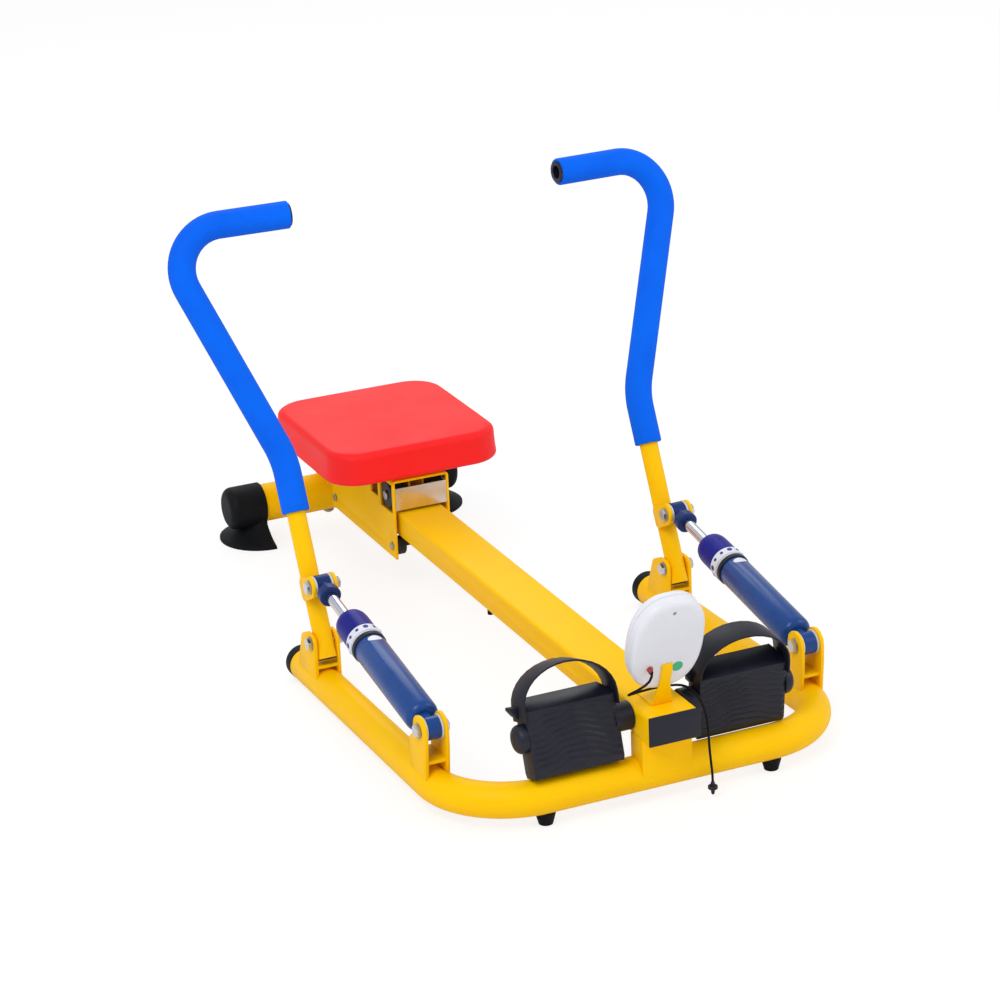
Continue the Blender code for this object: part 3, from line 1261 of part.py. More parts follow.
def strap_outline():
    """Give the front view of a strap: two legs and an arch, both of the strap's thickness."""
    outer_half = (PEDAL_OUTER_X - PEDAL_INNER_X) / 2 + GAP + STRAP_THICKNESS
    outer = []
    inner = []
    for i in range(STRAP_SEGMENTS + 1):
        angle = math.pi * i / STRAP_SEGMENTS
        rise = STRAP_APEX - STRAP_SPRING
        outer.append((outer_half * math.cos(angle), STRAP_SPRING + rise * math.sin(angle)))
        inner_half = outer_half - STRAP_THICKNESS
        inner_rise = rise - STRAP_THICKNESS
        inner.append((inner_half * math.cos(angle), STRAP_SPRING + inner_rise * math.sin(angle)))
    legs_outer = [(outer_half, STRAP_FOOT)] + outer + [(-outer_half, STRAP_FOOT)]
    inner_half = outer_half - STRAP_THICKNESS
    legs_inner = [(-inner_half, STRAP_FOOT)] + inner[::-1] + [(inner_half, STRAP_FOOT)]
    return legs_outer + legs_inner


def build_pedals(model):
    """Build the pedal shaft and, on each side, the pedal with its boss, its strap and its end cap."""
    shaft_end = PEDAL_OUTER_X + PEDAL_CAP_LENGTH - PEDAL_CAP_END - GAP
    centre = from_bar(0, SHAFT_Y, SHAFT_HEIGHT)
    bore_radius = SHAFT_RADIUS + GAP
    width = PEDAL_OUTER_X - PEDAL_INNER_X
    for name, side in SIDES:
        lean = LEFT_PEDAL_LEAN if side < 0 else RIGHT_PEDAL_LEAN
        out = X_AXIS * side
        middle = centre + out * (PEDAL_INNER_X + width / 2)
        inner = centre + out * (BEAM_WIDTH / 2 + GAP)
        outer = centre + out * PEDAL_OUTER_X
        pedal = plate(f"pedal_{name}", pedal_outline(), width, middle, Y_AXIS, Z_AXIS)
        corners = [corner_cutter(f"pedal_corner_{name}_{way}", middle, width / 2, way) for way in (-1, 1)]
        boss = rod(f"pedal_boss_{name}", PEDAL_BOSS_RADIUS, inner,
                   centre + out * (PEDAL_INNER_X + PEDAL_BOSS_SINK), TUBE_SIDES)
        bore = rod(f"pedal_bore_{name}", bore_radius, inner - out * OVERRUN, outer + out * OVERRUN,
                   TURNED_SIDES)
        stud_holes = []
        studs = []
        strap_middle = STRAP_FRONT + STRAP_WIDTH / 2
        stud_place = middle + Vector((0, PEDAL_THICKNESS / 4, STUD_RISE))
        for stud_side in (-1, 1):
            face = stud_place + X_AXIS * stud_side * (width / 2 + GAP + STRAP_THICKNESS)
            inward = X_AXIS * -stud_side
            hole = rod(f"stud_hole_{name}_{stud_side}", STUD_RADIUS + GAP, face - inward * OVERRUN,
                       face + inward * (STUD_LENGTH + GAP))
            stud_holes.append(turn_about_shaft(hole, lean))
            profile = [
                (0, STUD_HEAD_HEIGHT),
                (STUD_HEAD_RADIUS * STUD_DOME_SHARE, STUD_HEAD_HEIGHT),
                (STUD_HEAD_RADIUS, STUD_HEAD_HEIGHT / 2),
                (STUD_HEAD_RADIUS, -STRAP_THICKNESS / 2),
                (STUD_RADIUS, -STRAP_THICKNESS / 2),
                (STUD_RADIUS, -STUD_LENGTH),
                (0, -STUD_LENGTH),
            ]
            stud = turned(f"stud_{name}_{stud_side}", profile, face, -inward, BOLT_SIDES)
            studs.append(turn_about_shaft(stud, lean))
        for obj in (pedal, boss, *corners):
            turn_about_shaft(obj, lean)
        model.cut(pedal, *corners)
        model.join(pedal, boss)
        model.cut(pedal, bore, *stud_holes)
        model.add(pedal, "black_plastic")

        strap_centre = middle + Y_AXIS * strap_middle
        strap = plate(f"pedal_strap_{name}", strap_outline(), STRAP_WIDTH, strap_centre, X_AXIS, Z_AXIS)
        turn_about_shaft(strap, lean)
        model.join(strap, *studs)
        model.add(strap, "black_rubber")

        cap_start = centre + out * (PEDAL_OUTER_X + GAP)
        length = PEDAL_CAP_LENGTH
        profile = [
            (0, length),
            (PEDAL_CAP_RADIUS - PEDAL_CAP_EDGE, length),
            (PEDAL_CAP_RADIUS, length - PEDAL_CAP_EDGE),
            (PEDAL_CAP_RADIUS, 0),
            (bore_radius, 0),
            (bore_radius, length - PEDAL_CAP_END),
            (0, length - PEDAL_CAP_END),
        ]
        model.add(turned(f"pedal_cap_{name}", profile, cap_start, out, TUBE_SIDES), "black_plastic")
    shaft = rod("pedal_shaft", SHAFT_RADIUS, centre - X_AXIS * shaft_end, centre + X_AXIS * shaft_end,
                SMALL_SIDES)
    model.add(shaft, "bare_steel")


def display_axes():
    """Give the display's up direction, its facing direction and the foot of its back face."""
    lean = math.radians(DISPLAY_LEAN)
    up = Vector((0, -math.sin(lean), math.cos(lean)))
    facing = Vector((0, math.cos(lean), math.sin(lean)))
    return up, facing, from_bar(0, DISPLAY_BACK_Y, DISPLAY_BOTTOM)


def egg_outline(inset):
    """Give the display's outline, an oval with full corners, drawn in by an inset."""
    outline = []
    half_height = DISPLAY_HEIGHT / 2
    for i in range(DISPLAY_SIDES):
        angle = math.tau * i / DISPLAY_SIDES
        across = math.copysign(abs(math.cos(angle)) ** DISPLAY_ROUND_SHARE, math.cos(angle))
        upward = math.copysign(abs(math.sin(angle)) ** DISPLAY_ROUND_SHARE, math.sin(angle))
        outline.append(((DISPLAY_WIDTH / 2 - inset) * across, half_height + (half_height - inset) * upward))
    return outline


def display_slab(name, inset, near, far):
    """Make an egg-shaped slab between two distances in front of the display's back face."""
    up, facing, foot = display_axes()
    centre = foot + facing * (near + far) / 2
    return plate(name, egg_outline(inset), far - near, centre, X_AXIS, up)


def build_display(model):
    """Build the display's two shells, screen and button, and its bracket."""
    up, facing, foot = display_axes()
    depth = REAR_SHELL_DEPTH + BEZEL_DEPTH
    rear = display_slab("display_rear_shell", 0, 0, REAR_SHELL_DEPTH)
    bevel = rear.modifiers.new("edges", "BEVEL")
    bevel.width = REAR_SHELL_DEPTH * SHELL_ROUND_SHARE
    bevel.segments = 2
    bevel.limit_method = "ANGLE"
    bevel.angle_limit = math.radians(RIM_ANGLE)
    bezel = display_slab("display_bezel", 0, REAR_SHELL_DEPTH + GAP, depth)
    rear_hollow = display_slab("rear_hollow", 3 * SHELL_WALL, 2 * SHELL_WALL, REAR_SHELL_DEPTH + OVERRUN)
    bezel_hollow = display_slab("bezel_hollow", 3 * SHELL_WALL, REAR_SHELL_DEPTH - OVERRUN,
                                depth - SHELL_WALL)

    screen_centre = foot + up * SCREEN_CENTRE + facing * (depth - SCREEN_DEPTH / 2)
    half_w = SCREEN_WIDTH / 2
    half_h = SCREEN_HEIGHT / 2
    corners = ((-half_w, -half_h), (half_w, -half_h), (half_w, half_h), (-half_w, half_h))
    radius = SCREEN_DEPTH
    screen = plate("display_screen", rounded_outline(corners, (radius,) * 4, 3), SCREEN_DEPTH - 2 * GAP,
                   screen_centre, X_AXIS, up)
    window_corners = [(u + math.copysign(GAP, u), v + math.copysign(GAP, v)) for u, v in corners]
    window = plate("screen_window", rounded_outline(window_corners, (radius,) * 4, 3),
                   SCREEN_DEPTH + 2 * OVERRUN, screen_centre, X_AXIS, up)
    button_foot = foot + up * BUTTON_CENTRE
    button_hole = rod("button_hole", BUTTON_RADIUS + GAP, button_foot + facing * REAR_SHELL_DEPTH,
                      button_foot + facing * (depth + OVERRUN), TUBE_SIDES)
    model.cut(rear, rear_hollow)
    model.add(rear, "white_plastic")
    model.cut(bezel, bezel_hollow, window, button_hole)
    inner_face = depth - SHELL_WALL - GAP
    profile = [
        (0, depth + BUTTON_PROUD),
        (BUTTON_RADIUS - BUTTON_PROUD / 2, depth + BUTTON_PROUD),
        (BUTTON_RADIUS, depth + BUTTON_PROUD / 2),
        (BUTTON_RADIUS, inner_face),
        (BUTTON_RADIUS + BUTTON_LIP, inner_face),
        (BUTTON_RADIUS + BUTTON_LIP, inner_face - BUTTON_LIP),
        (0, inner_face - BUTTON_LIP),
    ]
    model.add(turned("display_button", profile, button_foot, facing, TUBE_SIDES), "black_plastic")
    model.add(screen, "dark_glass", smooth=False)
    model.add(bezel, "white_plastic")
    build_bracket(model)


def build_bracket(model):
    """Build the bent bracket between the beam and the display."""
    foot_half = BRACKET_WIDTH / 2
    foot_plate = box("display_bracket", from_bar(-foot_half, BRACKET_FOOT_FRONT, BEAM_TOP + GAP),
                     from_bar(foot_half, BRACKET_FOOT_FRONT + BRACKET_FOOT_LENGTH,
                              BEAM_TOP + GAP + BRACKET_SHEET))
    display_up, facing, display_foot = display_axes()
    lean = math.radians(DISPLAY_LEAN)
    up = display_up
    top_half = BRACKET_TOP_WIDTH / 2
    outline = (
        (-foot_half, 0), (foot_half, 0), (top_half, BRACKET_NARROW_HEIGHT), (top_half, BRACKET_HEIGHT),
        (-top_half, BRACKET_HEIGHT), (-top_half, BRACKET_NARROW_HEIGHT))
    rise = DISPLAY_BOTTOM - BEAM_TOP
    back = -facing * (BRACKET_SHEET / 2 + GAP)
    start = display_foot + back - up * ((rise - GAP) / math.cos(lean))
    upright = plate("bracket_upright", outline, BRACKET_SHEET, start, X_AXIS, up)
    toe = box("bracket_toe", from_bar(-foot_half, start.y - BAR_Y - BRACKET_SHEET / 2, BEAM_TOP + GAP),
              from_bar(foot_half, BRACKET_FOOT_FRONT + BRACKET_SHEET, BEAM_TOP + GAP + BRACKET_SHEET))
    below = box("bracket_trim", from_bar(-BRACKET_WIDTH, -BRACKET_FOOT_LENGTH, BEAM_TOP - OVERRUN),
                from_bar(BRACKET_WIDTH, BRACKET_FOOT_LENGTH * 2, BEAM_TOP + GAP))
    model.join(foot_plate, toe, upright)
    model.cut(foot_plate, below)
    model.add(foot_plate, "yellow_paint", smooth=False)


def smooth_route(points, count):
    """Read evenly spaced points from a smooth curve through a route's own points."""
    places = [points[0] * 2 - points[1]] + points + [points[-1] * 2 - points[-2]]
    fine = []
    for i in range(1, len(places) - 2):
        a, b, c, d = places[i - 1:i + 3]
        for step in range(CORD_SPANS):
            t = step / CORD_SPANS
            fine.append(0.5 * (2 * b + (c - a) * t + (2 * a - 5 * b + 4 * c - d) * t * t
                               + (3 * b - a - 3 * c + d) * t * t * t))
    fine.append(points[-1].copy())
    runs = [0.0]
    for before, after in zip(fine, fine[1:]):
        runs.append(runs[-1] + (after - before).length)
    route = []
    at = 0
    for i in range(count):
        want = runs[-1] * i / (count - 1)
        while at < len(runs) - 2 and runs[at + 1] < want:
            at += 1
        share = (want - runs[at]) / (runs[at + 1] - runs[at])
        route.append(fine[at].lerp(fine[at + 1], share))
    return route


def build_cord(model):
    """Build the sensor cord and the small jack plug on its end."""
    places = [from_bar(*point) for point in CORD_ROUTE]
    route = smooth_route(places, CORD_POINTS)
    model.add(tube("sensor_cord", route, CORD_RADIUS, CORD_SIDES), "black_rubber")
    end = places[-1] - Z_AXIS * GAP
    sleeve = JACK_SLEEVE_LENGTH
    flange = sleeve + JACK_FLANGE_LENGTH
    tip = flange + JACK_TIP_LENGTH
    profile = [
        (0, tip),
        (JACK_TIP_RADIUS / 2, tip),
        (JACK_TIP_RADIUS, tip - JACK_TIP_RADIUS),
        (JACK_TIP_RADIUS, flange),
        (JACK_FLANGE_RADIUS, flange),
        (JACK_FLANGE_RADIUS, sleeve),
        (JACK_SLEEVE_RADIUS, sleeve),
        (CORD_RADIUS, 0),
        (0, 0),
    ]
    model.add(turned("jack_plug", profile, end, -Z_AXIS, SMALL_SIDES), "black_plastic")


def add_joint_empties(model, handles):
    """Parent every moving piece to an empty on its joint's axis."""
    for name, side in SIDES:
        handle = handles[name]
        model.carry(model.pivot(f"handle_axis_{name}", handle.pivot),
                    (f"handle_tube_{name}", f"foam_grip_{name}", f"rod_bolt_{name}"))
        model.carry(model.pivot(f"damper_axis_{name}", handle.clevis),
                    (f"damper_body_{name}", f"damper_guide_{name}"))
        model.carry(model.pivot(f"collar_axis_{name}", handle.along(SCALE_END * handle.stretch)),
                    (f"adjusting_collar_{name}",))
        model.carry(model.pivot(f"rod_axis_{name}", handle.along(handle.damper_length - BOSS_LENGTH)),
                    (f"damper_rod_{name}", f"rod_eye_{name}"))
        shaft = from_bar(side * PEDAL_INNER_X, SHAFT_Y, SHAFT_HEIGHT)
        model.carry(model.pivot(f"pedal_axis_{name}", shaft),
                    (f"pedal_{name}", f"pedal_strap_{name}"))
    upper, lower = axle_places()
    for row, height, places in (("upper", UPPER_AXLE_HEIGHT, upper), ("lower", LOWER_AXLE_HEIGHT, lower)):
        for name, y, way in places:
            model.carry(model.pivot(f"{row}_roller_axis_{name}", from_bar(0, y, height)),
                        (f"{row}_rollers_{name}",))
    model.carry(model.pivot("seat_slide", from_bar(0, CARRIAGE_FRONT, BEAM_TOP)),
                ("seat_pad", "seat_board", "seat_carriage", "carriage_front_plate"))
    up, facing, foot = display_axes()
    model.carry(model.pivot("button_axis", foot + up * BUTTON_CENTRE), ("display_button",))


def build():
    """Build the whole machine."""
    clear_scene()
    model = Model()
    build_base(model)
    bolt_holes = build_post_and_beam(model)
    build_rear_stand(model, bolt_holes)
    handles = {}
    for name, side in SIDES:
        handles[name] = build_handle(model, name, side)
        build_damper(model, name, handles[name])
    build_seat(model)
    build_carriage(model)
    build_pedals(model)
    build_display(model)
    build_cord(model)
    add_joint_empties(model, handles)


build()
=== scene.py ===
"""Looks of the children's rowing machine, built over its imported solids.

Lengths are in metres. +Z is up, the pedals lie towards -Y and the seat towards +Y. Places along the machine
are given from the axis of the front bar.
"""

import json
import logging
import math
from dataclasses import dataclass, field
from enum import Enum
from typing import Sequence

import bpy
from bpy.types import ID, Material, MeshVertex, Node, NodeSocket, NodeTree, Object
from mathutils import Matrix, Vector

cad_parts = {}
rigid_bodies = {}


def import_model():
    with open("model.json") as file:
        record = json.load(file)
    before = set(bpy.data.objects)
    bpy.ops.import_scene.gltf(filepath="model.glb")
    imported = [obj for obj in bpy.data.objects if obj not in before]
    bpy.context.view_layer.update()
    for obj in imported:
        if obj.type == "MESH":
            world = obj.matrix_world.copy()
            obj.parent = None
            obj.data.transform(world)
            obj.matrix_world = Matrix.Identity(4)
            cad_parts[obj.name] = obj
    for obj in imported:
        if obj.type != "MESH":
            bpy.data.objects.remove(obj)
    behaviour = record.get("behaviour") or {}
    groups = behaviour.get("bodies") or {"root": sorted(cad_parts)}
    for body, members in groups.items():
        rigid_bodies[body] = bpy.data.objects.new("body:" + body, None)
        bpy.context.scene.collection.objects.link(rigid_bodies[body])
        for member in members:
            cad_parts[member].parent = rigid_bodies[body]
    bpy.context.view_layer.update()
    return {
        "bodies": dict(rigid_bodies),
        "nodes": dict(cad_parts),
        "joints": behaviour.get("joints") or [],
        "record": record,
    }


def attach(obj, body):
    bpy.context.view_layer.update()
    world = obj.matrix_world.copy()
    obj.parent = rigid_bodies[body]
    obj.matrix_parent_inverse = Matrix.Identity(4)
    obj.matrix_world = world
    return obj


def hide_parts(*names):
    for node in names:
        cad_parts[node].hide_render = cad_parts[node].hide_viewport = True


LOG = logging.getLogger("rowing_machine")
BAR_Y = -0.48225
GAP = 0.0003
RIM = 0.0003
MERGE = 0.00001
RUN_PARTS = 4
WHITE = (1, 1, 1, 1)
X_AXIS = Vector((1, 0, 0))
Y_AXIS = Vector((0, 1, 0))
Z_AXIS = Vector((0, 0, 1))
SIDES = (("left", -1), ("right", 1))
Profile = Sequence[tuple[float, float]]


def from_bar(x: float, y: float, z: float) -> Vector:
    """Give the point at a place counted from the front bar's axis."""
    return Vector((x, BAR_Y + y, z))


def linear(shown: tuple[int, int, int]) -> tuple[float, float, float, float]:
    """Turn a colour of 0 to 255 as it shows into the values that a shader takes."""
    shares = [value / 255 for value in shown]
    return (*(c / 12.92 if c <= 0.04045 else ((c + 0.055) / 1.055) ** 2.4 for c in shares), 1)


def fill_inputs(tree: NodeTree, node: Node, inputs: dict[str | int, object]) -> None:
    """Give a node's inputs their values, or link them where another node's output is given."""
    for name, value in inputs.items():
        if isinstance(value, NodeSocket):
            tree.links.new(value, node.inputs[name])
        else:
            node.inputs[name].default_value = value


def add_node(tree: NodeTree, kind: str, output: str, inputs: dict[str | int, object],
             **settings: object) -> NodeSocket:
    """Add a shader node.

    Args:
        tree: The node tree of the material or world.
        kind: The node's type, without its first word.
        output: The name of the output that is wanted.
        inputs: Values and links of the node's inputs.
        **settings: The node's own settings.

    Returns:
        The wanted output.
    """
    node = tree.nodes.new(f"ShaderNode{kind}")
    for name, value in settings.items():
        setattr(node, name, value)
    fill_inputs(tree, node, inputs)
    return node.outputs[output]


class Grain(Enum):
    """The small relief of a surface."""

    SPRAYED = "sprayed paint"
    CELLS = "foam cells"
    LEATHER = "pressed leather grain"
    BRUSHED = "brushed lines"
    STIPPLE = "moulded stipple"
    PLAIN = "plain"


@dataclass(frozen=True)
class Finish:
    """One surface finish: colour in patches, gloss and the small relief on it."""

    name: str
    slot: str
    colour: tuple[int, int, int]
    other: tuple[int, int, int]
    roughness: float
    spread: float = 0.06
    grain: Grain = Grain.PLAIN
    scale: float = 400.0
    relief: float = 0.1
    depth: float = 0.0003
    metallic: float = 0.0
    specular: float = 0.5
    coat: float = 0.0
    coat_roughness: float = 0.08

    def build(self) -> Material:
        """Make the node material of this finish.

        Returns:
            The material, whose patterns follow the piece's own object coordinates.
        """
        made = bpy.data.materials.new(self.name)
        made.use_nodes = True
        made.diffuse_color = linear(self.colour)
        tree = made.node_tree
        place = add_node(tree, "TexCoord", "Object", {})
        patches = add_node(tree, "TexNoise", "Fac",
                           {"Vector": place, "Scale": 14.0, "Detail": 5.0, "Roughness": 0.6})
        ramp = tree.nodes.new("ShaderNodeValToRGB")
        tree.links.new(patches, ramp.inputs["Fac"])
        for stop, at, colour in zip(ramp.color_ramp.elements, (0.3, 0.62), (self.other, self.colour)):
            stop.position = at
            stop.color = linear(colour)
        low, high = max(self.roughness - self.spread, 0.02), self.roughness + self.spread
        gloss = add_node(tree, "MapRange", "Result",
                         {"Value": patches, "From Min": 0.3, "From Max": 0.7, "To Min": low,
                          "To Max": high})
        inputs = {"Base Color": ramp.outputs["Color"], "Roughness": gloss, "Metallic": self.metallic,
                  "Specular IOR Level": self.specular, "Coat Weight": self.coat,
                  "Coat Roughness": self.coat_roughness}
        if self.grain is not Grain.PLAIN:
            height = self.relief_height(tree, place)
            inputs["Normal"] = add_node(tree, "Bump", "Normal",
                                        {"Height": height, "Strength": self.relief, "Distance": self.depth})
        fill_inputs(tree, tree.nodes["Principled BSDF"], inputs)
        return made

    def relief_height(self, tree: NodeTree, place: NodeSocket) -> NodeSocket:
        """Add the nodes of the small relief.

        Args:
            tree: The material's node tree.
            place: The output that gives the texture coordinates.

        Returns:
            The output that gives the relief's height.
        """
        stretch = 0.04 if self.grain is Grain.BRUSHED else 1.0
        spot = add_node(tree, "Mapping", "Vector", {"Vector": place, "Scale": (stretch, 1.0, 1.0)})
        if self.grain in (Grain.CELLS, Grain.LEATHER):
            cells = add_node(tree, "TexVoronoi", "Distance", {"Vector": spot, "Scale": self.scale},
                             feature="F1" if self.grain is Grain.CELLS else "DISTANCE_TO_EDGE")
            fine = add_node(tree, "TexNoise", "Fac",
                            {"Vector": spot, "Scale": self.scale * 2.3, "Detail": 4.0})
            return add_node(tree, "Math", "Value", {0: fine, 1: 0.6, 2: cells}, operation="MULTIPLY_ADD")
        detail = 3.0 if self.grain is Grain.SPRAYED else 6.0
        return add_node(tree, "TexNoise", "Fac", {"Vector": spot, "Scale": self.scale, "Detail": detail})


YELLOW_PAINT = Finish("yellow_enamel", "yellow_paint", (255, 200, 0), (255, 195, 0), 0.42, 0.04,
                      Grain.SPRAYED, scale=420.0, relief=0.025, specular=0.1)
FOAM_BLUE = Finish("blue_foam_rubber", "blue_foam", (1, 105, 244), (0, 96, 234), 0.72, 0.05,
                   Grain.CELLS, scale=900.0, relief=0.3, specular=0.1)
CYLINDER_BLUE = Finish("blue_cylinder_paint", "blue_paint", (16, 68, 140), (12, 58, 126), 0.26, 0.05,
                       Grain.SPRAYED, scale=240.0, relief=0.03, coat=0.05, specular=0.3)
EYE_BLUE = Finish("blue_cast_eye", "blue_paint", (14, 46, 108), (9, 36, 92), 0.34, 0.08,
                  Grain.STIPPLE, scale=900.0, relief=0.15, specular=0.25)
COLLAR_BLUE = Finish("deep_blue_moulding", "deep_blue_plastic", (15, 17, 132), (10, 13, 116), 0.36, 0.06,
                     Grain.STIPPLE, scale=1400.0, relief=0.1, specular=0.2)
BAND_WHITE = Finish("white_scale_moulding", "white_plastic", (226, 228, 238), (212, 214, 228), 0.42, 0.06,
                    Grain.STIPPLE, scale=1400.0, relief=0.06)
CASE_WHITE = Finish("white_case_moulding", "white_plastic", (228, 229, 237), (221, 223, 232), 0.36, 0.05,
                    Grain.STIPPLE, scale=1600.0, relief=0.08)
WASHER_WHITE = Finish("white_washer_nylon", "white_plastic", (214, 218, 226), (196, 200, 210), 0.5, 0.06,
                      Grain.STIPPLE, scale=900.0, relief=0.08)
SEAT_RED = Finish("red_seat_vinyl", "red_vinyl", (255, 30, 32), (252, 24, 26), 0.5, 0.05,
                  Grain.LEATHER, scale=520.0, relief=0.18, specular=0.25)
RUBBER_BLACK = Finish("black_moulded_rubber", "black_rubber", (13, 16, 21), (9, 11, 15), 0.6, 0.08,
                      Grain.STIPPLE, scale=700.0, relief=0.25, specular=0.15)
PLASTIC_BLACK = Finish("black_moulded_plastic", "black_plastic", (21, 24, 40), (14, 17, 30), 0.4, 0.08,
                       Grain.STIPPLE, scale=800.0, relief=0.2, specular=0.35)
STRAP_BLACK = Finish("black_strap_rubber", "black_rubber", (20, 23, 36), (14, 16, 27), 0.5, 0.08,
                     Grain.STIPPLE, scale=1100.0, relief=0.2, specular=0.3)
CHROME = Finish("polished_chrome", "chrome", (214, 216, 222), (200, 203, 210), 0.14, 0.05,
                Grain.BRUSHED, scale=700.0, relief=0.03, metallic=1.0)
ZINC = Finish("zinc_plate", "bare_steel", (178, 180, 184), (150, 153, 158), 0.34, 0.1,
              Grain.STIPPLE, scale=500.0, relief=0.1, metallic=1.0)
SHEET_STEEL = Finish("bare_sheet_steel", "bare_steel", (226, 214, 204), (208, 198, 188), 0.3, 0.1,
                     Grain.BRUSHED, scale=900.0, relief=0.12, metallic=1.0)
# Near-black inside faces of the tube walls: painted shade that stands for the dark hollow of each bore.
TUBE_BORE_PAINTED_SHADE = Finish("painted_shade_tube_bore", "black_plastic", (26, 26, 28), (16, 16, 18), 0.75, 0.1,
                     Grain.STIPPLE, scale=500.0, relief=0.2)
BOARD_BROWN = Finish("pressed_board", "board", (150, 112, 74), (118, 84, 52), 0.8, 0.08,
                     Grain.STIPPLE, scale=600.0, relief=0.3)
WINDOW_DARK = Finish("display_window", "dark_glass", (58, 70, 62), (50, 60, 54), 0.1, 0.03, coat=0.6)
MARK_BLUE = Finish("blue_scale_mark", "deep_blue_plastic", (40, 44, 130), (34, 38, 118), 0.5)
DOT_GREEN = Finish("green_dot", "white_plastic", (60, 185, 135), (54, 172, 124), 0.5)
SLEEVE_RED = Finish("red_wire_sleeve", "red_vinyl", (170, 44, 36), (140, 34, 30), 0.5)

BUILT: dict[str, Material] = {}


def dress(piece: Object, *finishes: Finish) -> Object:
    """Give a piece its finishes, one material for each, in order."""
    piece.data.materials.clear()
    for finish in finishes:
        if finish.name not in BUILT:
            BUILT[finish.name] = finish.build()
        piece.data.materials.append(BUILT[finish.name])
    return piece


def place_on(piece: Object, body: str, *nodes: str) -> Object:
    """Let a piece ride on a body, stand for solids where it does, and report it."""
    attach(piece, body)
    if nodes:
        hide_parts(*nodes)
    LOG.info("%s rides on %s", piece.name, body)
    return piece


def fit(piece: Object, finish: Finish, body: str, *nodes: str) -> Object:
    """Dress a piece in one finish and place it on its body."""
    return place_on(dress(piece, finish), body, *nodes)


def add_object(name: str, data: ID) -> Object:
    """Add an object with its data to the scene."""
    made = bpy.data.objects.new(name, data)
    bpy.context.scene.collection.objects.link(made)
    return made


def only(piece: Object) -> None:
    """Deselect everything else and make a piece the active one."""
    bpy.ops.object.select_all(action="DESELECT")
    piece.select_set(True)
    bpy.context.view_layer.objects.active = piece


def edit(piece: Object) -> None:
    """Open a piece in edit mode with all of it selected."""
    only(piece)
    bpy.ops.object.mode_set(mode="EDIT")
    bpy.ops.mesh.select_all(action="SELECT")


def close_edit() -> None:
    """Leave edit mode."""
    bpy.ops.object.mode_set(mode="OBJECT")


def open_new(name: str) -> Object:
    """Name the mesh that was just added and open it in edit mode."""
    piece = bpy.context.object
    piece.name = name
    piece.data.name = name
    edit(piece)
    return piece


def settle(piece: Object) -> None:
    """Move a piece's place into its mesh, merge its doubles and turn its faces outwards."""
    only(piece)
    bpy.ops.object.transform_apply(location=True, rotation=True, scale=True)
    edit(piece)
    bpy.ops.mesh.remove_doubles(threshold=MERGE)
    bpy.ops.mesh.normals_make_consistent(inside=False)
    close_edit()


def smooth(piece: Object, angle: float = 32.0) -> Object:
    """Shade a piece smooth up to an angle in degrees."""
    only(piece)
    bpy.ops.object.shade_smooth_by_angle(angle=math.radians(angle))
    return piece


def modify(piece: Object, kind: str, **settings: object) -> None:
    """Add one modifier and apply it.

    Args:
        piece: The piece to change.
        kind: The modifier's type.
        **settings: Values of the modifier.
    """
    only(piece)
    step = piece.modifiers.new(kind.lower(), kind)
    for name, value in settings.items():
        setattr(step, name, value)
    bpy.ops.object.modifier_apply(modifier=step.name)


def soften(piece: Object, width: float, angle: float) -> None:
    """Round a piece's edges that are sharper than an angle in degrees."""
    modify(piece, "BEVEL", width=width, segments=2, limit_method="ANGLE", angle_limit=math.radians(angle),
           use_clamp_overlap=True, harden_normals=False)


def combine(piece: Object, operation: str, *others: Object) -> None:
    """Join other solids to a piece or cut them from it, and remove them."""
    for other in others:
        modify(piece, "BOOLEAN", operation=operation, solver="EXACT", object=other)
        bpy.data.objects.remove(other, do_unlink=True)


def facing(direction: Vector) -> tuple[float, float, float]:
    """Give the rotation that turns +Z along a direction, with X kept along world X where it can be."""
    z = direction.normalized()
    across = X_AXIS if abs(z.x) < 0.9 else Y_AXIS
    y = z.cross(across).normalized()
    return tuple(Matrix((y.cross(z), y, z)).transposed().to_euler())


def ring_start(name: str, radius: float, centre: Vector, direction: Vector, sides: int) -> Object:
    """Add an open circle across a direction and open it in edit mode."""
    bpy.ops.mesh.primitive_circle_add(vertices=sides, radius=radius, fill_type="NOTHING", location=centre,
                                      rotation=facing(direction))
    return open_new(name)


def extrude(move: Vector) -> None:
    """Extrude what is selected by a distance."""
    bpy.ops.mesh.extrude_region_move(TRANSFORM_OT_translate={"value": tuple(move)})


def turned(name: str, profile: Profile, origin: Vector, direction: Vector, sides: int = 48) -> Object:
    """Model a turned solid from its outline, ring by ring.

    Args:
        name: The piece's name.
        profile: Radius and place along the axis of each ring, from one end to the other. A first and last
            ring off the axis are joined, which makes a pierced piece.
        origin: Where places along the axis are counted from.
        direction: The axis.
        sides: Flat sides of each ring.

    Returns:
        The closed piece.
    """
    axis = direction.normalized()
    pierced = profile[0][0] > 0
    rings = [(r, s) for r, s in profile if r > 0]
    piece = ring_start(name, rings[0][0], origin + axis * rings[0][1], axis, sides)
    if not pierced:
        bpy.ops.mesh.edge_face_add()
    radius, place = rings[0]
    path = rings[1:] + ([rings[0]] if pierced else [])
    for next_radius, next_place in path:
        extrude(axis * (next_place - place))
        grow = next_radius / radius
        if abs(grow - 1) > 1e-6:
            bpy.ops.transform.resize(value=(grow, grow, grow))
        radius, place = next_radius, next_place
    close_edit()
    settle(piece)
    return smooth(piece)


